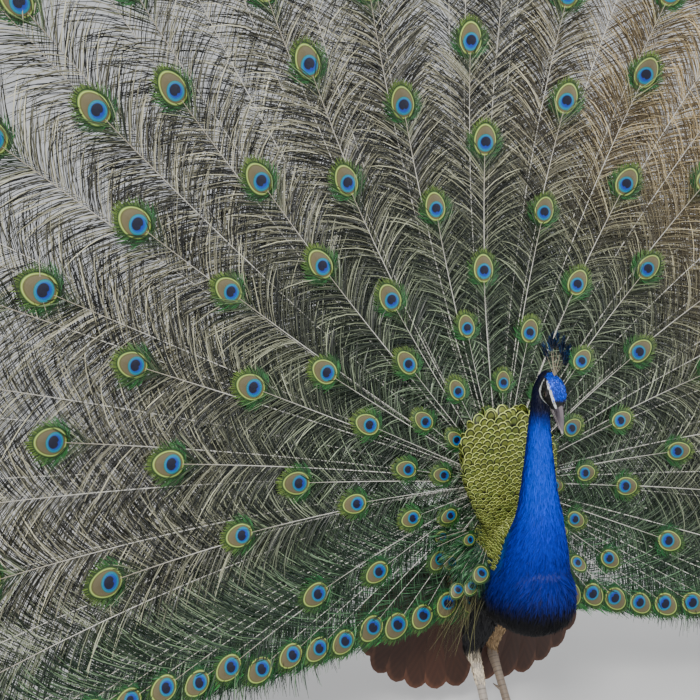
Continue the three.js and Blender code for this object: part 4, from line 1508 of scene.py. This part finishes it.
def build_primaries():
    """Broad rufous flight feathers hanging below each wing."""
    pale, middle, dark = srgb(255, 250, 244), srgb(184, 174, 168), srgb(100, 90, 86)
    material = vane_material("rufous_pattern", pale, 0.92, middle, dark, Roughness=0.6)
    for name, sign in (("right", -1), ("left", 1)):
        coat = Coat(f"primary_feathers_{name}")
        n = 7
        f = np.arange(n) / (n - 1)
        angle = np.radians(-13 + 56 * f)
        length = 0.288 * (1 - 0.25 * f**2) + rng.normal(0, 0.002, n)
        root = np.array([sign * 0.092, 0.062, 0.336]) + np.zeros((n, 3))
        root[:, 1] += 0.0016 * np.arange(n)
        heading = np.stack([sign * np.sin(angle), 0.25 + 0 * angle, -np.cos(angle)], -1)
        stretch = np.linalg.norm(heading, axis=1)
        normal = np.array([0, -1.0, -0.1])
        colour = srgb(92, 58, 42) * rng.uniform(0.8, 1.1, (n, 1))
        place = np.stack([middles(n), np.full(n, 0.5)], -1)
        vanes(coat, root, heading / stretch[:, None], normal, length * stretch, 0.084, place,
              colour[:, None, None], rows=18, columns=11, base=0.3, round_end=0.3,
              camber=0.07, curl=0.02, size=0.0)
        coat.uv[-1] = strip_map(n, 18, 11)
        coat.make(material, "primaries", f"primaries_{name}")


def strip_map(n, rows, columns):
    """Bake map of n long vanes side by side."""
    u = (np.arange(n)[:, None, None] + 0.5 + np.linspace(-0.46, 0.46, columns)[None, None]) / n
    v = np.linspace(0.02, 0.98, rows)[None, :, None]
    return np.stack(np.broadcast_arrays(u, v), -1).reshape(-1, 2)


def build_tail():
    """The twenty brown tail feathers that prop the train from behind."""
    coat = Coat("tail_feathers")
    n = 20
    angle = np.radians(-74 + 148 * np.arange(n) / (n - 1))
    length = 0.425 * (1 - 0.1 * (angle / math.radians(78)) ** 2) + rng.normal(0, 0.004, n)
    root = np.stack([0.05 * np.sin(angle), 0.062 + 0 * angle, 0.45 + 0.05 * np.cos(angle)], -1)
    root[:, 1] += 0.0012 * (np.arange(n) % 3)
    heading = unit(np.stack([np.sin(angle), 0.12 + 0 * angle, np.cos(angle)], -1))
    normal = np.array([0, -1.0, 0])
    colour = srgb(104, 86, 68) * rng.uniform(0.85, 1.12, (n, 1))
    place = np.zeros((n, 2))
    vanes(coat, root, heading, normal, length * 0.9, 0.062, place, colour[:, None, None],
          rows=20, columns=9, base=0.2, round_end=0.12, camber=0.05, curl=-0.03, size=0.0)
    coat.uv[-1] = strip_map(n, 20, 9)
    pale, middle, dark = srgb(240, 225, 205), srgb(225, 220, 215), srgb(190, 185, 180)
    material = vane_material("tail_pattern", pale, 0.9, middle, dark, Roughness=0.65)
    coat.make(material, "tail", "tail")


# ---------------------------------------------------------------- head details
def tube(coat, path, radius, sides, place, colour, lie_tone=0.5):
    """Closed-section tubes along paths (n, k, 3) with radii (n, k)."""
    direction = unit(np.gradient(path, axis=1))
    reference = np.where(np.abs(direction[..., :1]) < 0.8, [1.0, 0, 0], [0, 1.0, 0])
    a = unit(np.cross(direction, reference))
    b = np.cross(direction, a)
    turn = np.linspace(0, 2 * math.pi, sides + 1)
    ring = a[:, :, None] * np.cos(turn)[:, None] + b[:, :, None] * np.sin(turn)[:, None]
    points = path[:, :, None] + ring * radius[..., None, None]
    n, rows = path.shape[:2]
    lie = np.zeros((n, rows, sides + 1, 3))
    lie[..., 0] = np.linspace(0, 1, rows)[None, :, None]
    lie[..., 1] = lie_tone
    coat.grid(points, patches(place, rows, sides + 1), lie, colour)


# Along a crest shaft, as shares of its length: where the fan starts, and how far it runs.
FAN_START, FAN_RUN = 0.66, 0.30


def build_crest():
    """Bare upright shafts with small dark blue-green fans, spread in the head's middle plane."""
    coat = Coat("crest_feathers")
    n = 11
    f = middles(n)
    lean = np.radians(-58 + 98 * f + rng.normal(0, 1.5, n))
    yaw = math.radians(HEAD_YAW)
    aside = -np.sin(yaw) * np.sin(lean) + rng.normal(0, 0.035, n)
    out = np.stack([aside, np.cos(yaw) * np.sin(lean), np.cos(lean)], -1)
    out = unit(out)
    crown = np.array(HEAD @ Vector((0, -0.025, 0.015)))
    length = 0.067 * (0.74 + 0.30 * np.sin(np.pi * f)) * rng.uniform(0.93, 1.07, n)
    s = np.linspace(-0.08, 0.86, 6)
    path = crown + out[:, None] * (length[:, None] * s)[..., None]
    radius = np.linspace(0.0004, 0.0003, 6)[None]
    place = np.stack([middles(n), np.full(n, 0.15)], -1)
    colour = mix(srgb(190, 176, 150), srgb(60, 56, 58), smooth(0.2, 0.9, s))[None, :, None]
    tube(coat, path, radius, 5, place, colour)
    each = 26
    k = np.arange(each)
    side = np.where(k % 2 == 0, 1.0, -1.0)
    d = FAN_START + FAN_RUN * (k // 2) / (each / 2 - 1)
    start = crown + out[:, None] * (length[:, None] * d)[..., None]
    plane = unit(np.cross(np.array([np.cos(yaw), np.sin(yaw), 0]), out))
    spread = np.radians(48 - 34 * (d - FAN_START) / FAN_RUN) * side
    barb = out[:, None] * np.cos(spread)[None, :, None] + plane[:, None] * np.sin(spread)[None, :, None]
    barb = unit(barb + rng.normal(0, 0.10, barb.shape))
    size = (0.0085 + 0.004 * (1 - (d - FAN_START) / FAN_RUN))[None] * rng.uniform(0.85, 1.15, (n, each))
    t = np.linspace(0, 1, 4)
    blades = start[:, :, None] + barb[:, :, None] * (size[..., None] * t)[..., None]
    blades = blades.reshape(-1, 4, 3)
    flat = np.cross(np.repeat(np.cross(out, plane), each, 0), barb.reshape(-1, 3))[:, None]
    flat = flat + rng.normal(0, 0.3, (n * each, 1, 3))
    half = 0.0011 * np.interp(t, [0, 0.4, 1], [0.6, 1, 0.35])[None]
    tone = rng.random(n * each)
    colour = mix(srgb(5, 12, 40), srgb(12, 62, 110), tone**3)
    place = np.stack([np.repeat(np.arange(n) + 0.5, each) / n, np.tile(0.3 + 0.6 * k / each, n)], -1)
    coat.strips(blades, flat, half, place, t, tone, colour)
    material = painted("crest_dark", tip=1.25, root=0.8, grain=0.2, Roughness=0.45, Metallic=0.2)
    coat.make(material, "crest", "crest")


def closed_piece(name, body, paint, material, slot, *nodes):
    """One closed smooth mesh from a loft, with painted colours, in the place of CAD nodes."""
    points, faces = body.mesh()
    mesh = bpy.data.meshes.new(name)
    mesh.from_pydata((points + [0, OFFSET, 0]).tolist(), [], faces)
    set_paint(mesh, paint)
    mesh.polygons.foreach_set("use_smooth", np.ones(len(mesh.polygons), bool))
    return finished(mesh, material, slot, *nodes)


def horn_material(name, **values):
    shader = Shader(name, **values)
    base = shader.attribute("paint", "Color")
    streak = shader.noise(110.0, 4.0)
    shader.colour(shader.shaded(base, streak, 0.8, 1.14))
    shader.bump(streak, 0.2, 0.0005)
    return shader.material


def build_bill():
    material = horn_material("bill_horn", Roughness=0.34)
    upper = Loft(UPPER_BILL, (2, 5), 70, 64, 0.0, frame=HEAD)
    local = moved(HEAD.inverted(), upper.points.reshape(-1, 3)) * 1000
    centre = np.array([5.4, 33.5, 0.4])
    mirrored = np.abs(local[:, :1]) * [1, 0, 0] + local * [0, 1, 1]
    away = mirrored - centre
    slit = np.sqrt((away[:, 1] / 3.1) ** 2 + (away[:, 2] / 1.25) ** 2 + (away[:, 0] / 4) ** 2)
    dent = 1 - smooth(0.55, 1.1, slit)
    swell = np.exp(-(((slit - 1.5) / 0.5) ** 2)) * (away[:, 2] > -0.6)
    inward = unit(np.array([0, 0, -4.0]) - local * [1, 0, 1])
    local = local + inward * (dent * 1.3 - swell * 0.45)[:, None]
    upper.points = moved(HEAD, local / 1000).reshape(upper.points.shape)
    y = local[:, 1]
    paint = mix(srgb(66, 60, 68), srgb(112, 104, 110), smooth(34, 60, y))
    # Painted sheen: a paler band along the ridge of the bill.
    ridge = smooth(5.2, 8.6, local[:, 2] + 0.16 * (y - 22)) * (1 - smooth(40, 58, y) * 0.5)
    paint = mix(paint, srgb(150, 138, 142), 0.45 * ridge * (1 - smooth(2.4, 5.0, np.abs(local[:, 0]))))
    # Painted highlight: a pale line along the cutting edge of the upper bill.
    edge = np.exp(-(((local[:, 2] - (-5.4 - 0.10 * (y - 34))) / 1.3) ** 2))
    paint = mix(paint, srgb(206, 200, 198), 0.75 * edge)
    # Painted shade: the shallow nostril dent is painted near black.
    paint = mix(paint, srgb(30, 24, 26), dent)
    paint = mix(paint, WHITE * 0.85, bare_face(mirrored) * (1 - smooth(24, 31, y)))
    closed_piece("bill_top", upper, paint, material, "horn", "bill_upper")
    lower = Loft(LOWER_BILL, (2, 3), 50, 56, 0.0, frame=HEAD)
    local = moved(HEAD.inverted(), lower.points.reshape(-1, 3)) * 1000
    paint = mix(srgb(76, 66, 70), srgb(128, 116, 118), smooth(26, 52, local[:, 1]))
    paint = mix(paint, srgb(70, 60, 66), smooth(-9.6, -8.2, local[:, 2] + 0.05 * (local[:, 1] - 20)))
    edge = np.exp(-(((local[:, 2] + 11.6 + 0.06 * (local[:, 1] - 20)) / 0.9) ** 2))
    paint = mix(paint, srgb(200, 194, 192), 0.7 * edge)
    closed_piece("bill_bottom", lower, paint, material, "horn", "bill_lower")


def build_eyes():
    """Dark brown irises round black pupils, under a clear cornea's gloss."""
    shader = Shader("eye_wet", Roughness=0.08, Coat_Weight=1.0, Coat_Roughness=0.03)
    shader.colour(shader.mix(shader.noise(900.0, 2.0), shader.attribute("paint", "Color"), srgb(12, 9, 8)))
    rows, columns = 40, 48
    polar = np.linspace(0.0, math.pi, rows)[:, None]
    turn = np.linspace(0, 2 * math.pi, columns, endpoint=False)[None]
    for name, side in (("right", 1), ("left", -1)):
        cornea = EYE_BALL + 0.35 * np.exp(-((polar / 0.5) ** 2))
        x = side * cornea * np.cos(polar) + 0 * turn
        y, z = cornea * np.sin(polar) * np.cos(turn), cornea * np.sin(polar) * np.sin(turn)
        ball = np.stack([x, y, z], -1) / 1000 + np.array([side * EYE[0], EYE[1], EYE[2]])
        pupil = 1 - smooth(0.40, 0.45, polar)
        iris = 1 - smooth(0.70, 0.80, polar)
        paint = mix(srgb(10, 8, 8) + np.zeros((rows, columns, 3)), srgb(66, 38, 24), iris)
        paint = mix(paint, srgb(3, 3, 4), pupil)
        eye = Loft(UPPER_BILL, (1, 1), rows - 10, columns)
        eye.points = moved(HEAD, ball)
        if side > 0:
            eye.points, paint = eye.points[:, ::-1], paint[:, ::-1]
        closed_piece(f"eyeball_{name}", eye, paint.reshape(-1, 3), shader.material, "eye", f"eye_{name}")


# ---------------------------------------------------------------- legs, claws and spurs
def build_legs():
    material = horn_material("leg_scales", Roughness=0.5)
    coat = Coat("leg_plates")

    def plated(stations, caps, rows, sides, count, grow, lateral, column, light):
        body = Loft(stations, caps, rows, sides, grow, lateral)
        centre = body.points.mean(1, keepdims=True)
        phase = (body.t * count) % 1.0
        face = 0.5 + 0.5 * np.sin(body.phi)
        ridge = (0.55 - 0.75 * phase) * (0.35 + 0.65 * face)
        ridge = ridge + 0.25 * np.abs(np.sin(body.phi * 3)) * (1 - face)
        away = unit(body.points - centre)
        points = body.points + away * (ridge * 0.00055)[..., None]
        points[..., 2] = np.maximum(points[..., 2], 0.0)
        points = np.concatenate([points, points[:, :1]], 1)
        rows, columns = points.shape[:2]
        tone = np.clip(1.12 - 0.55 * smooth(0.72, 1.0, phase) - 0.2 * (1 - face), 0, 2)
        tone = np.concatenate([tone, tone[:, :1]], 1)[..., None]
        u = (column + 0.05 + 0.9 * np.linspace(0, 1, columns)) / 12
        v = np.linspace(0.02, 0.98, rows)
        uv = np.stack(np.broadcast_arrays(u[None], v[:, None]), -1)
        lie = np.zeros((1, rows, columns, 3))
        coat.grid(points[None], uv[None], lie, (light * tone)[None])

    column = 0
    for side, leg in LEGS.items():
        # The left shank is painted darker than the right: painted shade on the far leg.
        light = srgb(178, 168, 156) if side == "right" else srgb(142, 126, 110)
        plated(shank(leg), (4, 3), 150, 36, 26, 0.35, (1, 0, 0), column, light)
        column += 1
        for name, turn, length, radius, lift in TOES:
            heading = toe_heading(leg, turn)
            plated(toe(leg, turn, length, radius, lift), (3, 2.5), 64, 24, length / 5, 0.25,
                   (-heading[1], heading[0], 0), column, srgb(120, 108, 96))
            column += 1
    coat.make(material, "legs")


def build_claws():
    dark = horn_material("claw_horn", Roughness=0.35)
    for side, leg in LEGS.items():
        for name, turn, length, radius, lift in TOES:
            heading = toe_heading(leg, turn)
            start = [leg["foot"][k] + heading[k] * length * 0.9 for k in (0, 1)]
            rows = []
            for t, rise, r in [(0, 0.6, 3.2), (0.4, 0.9, 2.8), (0.75, 0, 1.9), (1, -2, 0.8)]:
                x, y = (start[k] + heading[k] * 17 * t for k in (0, 1))
                rows.append([x, y, TOE_HEIGHT + rise, r * 0.8, r, r * 0.8])
            body = Loft(rows, (1, 1), 16, 20, 0, (-heading[1], heading[0], 0))
            tip = body.share.reshape(-1)
            paint = mix(srgb(84, 74, 66), srgb(34, 28, 25), smooth(0.3, 1.0, tip))
            closed_piece(f"nail_{name}_{side}", body, paint, dark, "claw", f"claw_{name}_{side}")
        start = between(leg["ankle"], leg["foot"], 0.6)
        inward = -math.copysign(1, leg["foot"][0])
        rows = [
            [start[0] + inward * 9 * t, start[1] + 7 + 22 * t, start[2] + 5 + 5 * t * t, r, r, r]
            for t, r in [(0, 4), (0.35, 3.3), (0.7, 2.1), (1, 0.8)]
        ]
        body = Loft(rows, (1, 1), 18, 20)
        tip = body.share.reshape(-1)
        paint = mix(srgb(140, 126, 112), srgb(66, 56, 50), smooth(0.4, 1, tip))
        closed_piece(f"spur_horn_{side}", body, paint, dark, "horn", f"spur_{side}")


# ---------------------------------------------------------------- small green plumes of the flanks
FLANK_EYES = [
    (-0.095, -0.044, 0.391, 0.026),
    (-0.098, -0.097, 0.343, 0.034),
    (-0.097, -0.060, 0.310, 0.030),
    (-0.118, -0.02, 0.345, 0.030),
    (-0.112, -0.035, 0.298, 0.030),
    (-0.122, 0.012, 0.385, 0.028),
]


def flank_plumes(coat, sign, count=13, steps=24):
    """Green plumes of one side: quills with a row of barbs along both edges."""
    f = middles(count)
    angle = np.radians(172 - 104 * f + rng.normal(0, 4, count))
    length = rng.uniform(0.038, 0.066, count) + 0.014 * np.sin(np.pi * f)
    root = np.stack([sign * (0.066 + 0.01 * f), -0.062 + 0.10 * f, 0.372 + 0.03 * f], -1)
    heading = unit(np.stack([sign * (0.35 + 0.5 * np.sin(angle)), -0.28 + 0.30 * f, np.cos(angle)], -1))
    front = unit(np.array([sign * 0.55, -1.0, 0.1]) + np.zeros((count, 3)))
    front = level(front, heading)
    across = np.cross(front, heading)
    s = np.linspace(0.1, 1.0, steps)
    quill = np.linspace(0.0, 0.97, 6)
    shaft = root[:, None] + heading[:, None] * (length[:, None] * quill)[..., None]
    shaft = shaft + front[:, None] * 0.0035
    column = np.arange(count) + (count if sign > 0 else 0) + 0.5
    place = np.stack([column / (2 * count), np.full(count, 0.5)], -1)
    tube(coat, shaft, np.linspace(0.0006, 0.00025, 6)[None], 4, place, srgb(206, 200, 184))
    for side in (-1, 1):
        base = root[:, None] + heading[:, None] * (length[:, None] * s)[..., None]
        beta = np.radians(52 - 18 * s)[None] + rng.normal(0, 0.08, (count, steps))
        barb = heading[:, None] * np.cos(beta)[..., None]
        barb = barb + side * across[:, None] * np.sin(beta)[..., None]
        size = 0.018 * (0.45 + 0.75 * np.sin(np.pi * (0.15 + 0.75 * s)))[None]
        size = size * rng.uniform(0.8, 1.15, (count, steps))
        t = np.linspace(0, 1, 4)
        path = base[:, :, None] + barb[:, :, None] * (size[..., None] * t)[..., None]
        path = path + heading[:, None, None] * (size[..., None] * 0.35 * t**2)[..., None]
        path = path + front[:, None, None] * (0.004 * np.sin(math.pi * t))[None, None, :, None]
        path[..., 2] -= 0.006 * t**2
        face = np.repeat(across, steps, 0)[:, None] + rng.normal(0, 0.5, (count * steps, 1, 3))
        half = 0.0007 * np.interp(t, [0, 0.5, 1], [0.8, 1, 0.3])[None]
        tone = rng.random(count * steps)
        colour = mix(srgb(12, 44, 30), srgb(66, 124, 74), tone**1.5)
        u = (np.repeat(column, steps) + 0.22 * side) / (2 * count)
        v = np.tile(0.04 + 0.92 * s, count)
        coat.strips(path.reshape(-1, 4, 3), face, half, np.stack([u, v], -1), t, tone, colour)


def flank_eyes(coat):
    """The small eyed vanes of both flanks."""
    spots = [(sign * -x, y, z, ring) for sign in (-1, 1) for x, y, z, ring in FLANK_EYES]
    place = np.array([[x, y, z] for x, y, z, _ in spots])
    ring = np.array([r for *_, r in spots])
    outward = unit(place - np.array([0, 0.0, 0.40]) * [0, 1, 1] - place * [0.3, 0, 0])
    outward = unit(outward * [1, 0.3, 1])
    front = unit(np.stack([np.sign(place[:, 0]) * 0.5, -1 + 0 * ring, 0.05 + 0 * ring], -1))
    front = level(front, outward)
    across = np.cross(outward, front)
    lay_eyes(coat, place + front * 0.004, outward, across, front, ring, np.full(len(ring), 0.8))


def flank_strands(coat, n=260):
    """Loose thin strands that hang below the wings."""
    sign = np.where(np.arange(n) % 2 == 0, -1.0, 1.0)
    spread = [(0.066, 0.10), (-0.06, 0.06), (0.27, 0.33)]
    start = np.stack([rng.uniform(*span, n) for span in spread], -1)
    start[:, 0] *= sign
    size = rng.uniform(0.05, 0.13, n) * np.where(sign > 0, 0.55, 1.0)
    heading = unit(np.stack([sign * rng.uniform(0.05, 0.55, n), rng.uniform(-0.1, 0.35, n), -np.ones(n)], -1))
    t = np.linspace(0, 1, 6)
    path = start[:, None] + heading[:, None] * (size[:, None] * t)[..., None]
    path[..., 0] += sign[:, None] * 0.02 * t**2 * rng.uniform(-1, 1, (n, 1))
    flat = rng.normal(0, 1, (n, 1, 3))
    half = 0.0006 * np.interp(t, [0, 0.5, 1], [1, 0.9, 0.3])[None]
    tone = rng.random(n)
    colour = mix(srgb(40, 42, 24), srgb(116, 114, 74), tone)
    where = np.stack([0.5 + start[:, 0] * 4, 0.5 + start[:, 1] * 6], -1)
    coat.strips(path, flat, half, where, t, tone, colour)


def build_flanks():
    plumes, eyes, loose = Coat("flank_barbs"), Coat("flank_eyes"), Coat("flank_strands")
    for sign in (-1, 1):
        flank_plumes(plumes, sign)
    fringe = painted("flank_green", tip=1.25, root=0.7, grain=0.2, Roughness=0.4, Metallic=0.15)
    plumes.make(fringe, "train")
    flank_eyes(eyes)
    eyes.make(bpy.data.materials["train_eye_pattern"], "train")
    flank_strands(loose)
    loose.make(fringe, "train")


build_scale_patch()
build_wing_coverts()
build_primaries()
build_tail()
build_crest()
build_bill()
build_eyes()
build_legs()
build_claws()
build_flanks()


# ---------------------------------------------------------------- floor
def build_floor():
    mesh = bpy.data.meshes.new("floor")
    size, pieces = 9.0, 24
    turn = [2 * math.pi * k / pieces for k in range(pieces)]
    mesh.from_pydata([(size * math.cos(a), size * math.sin(a), 0) for a in turn], [], [list(range(pieces))])
    floor = bpy.data.objects.new("floor", mesh)
    scene.collection.objects.link(floor)
    shader = Shader("floor_paint", Roughness=0.8)
    shader.colour(shader.shade(shader.noise(3.0, 2.0), 0.62, 0.68))
    floor.data.materials.append(shader.material)


build_floor()
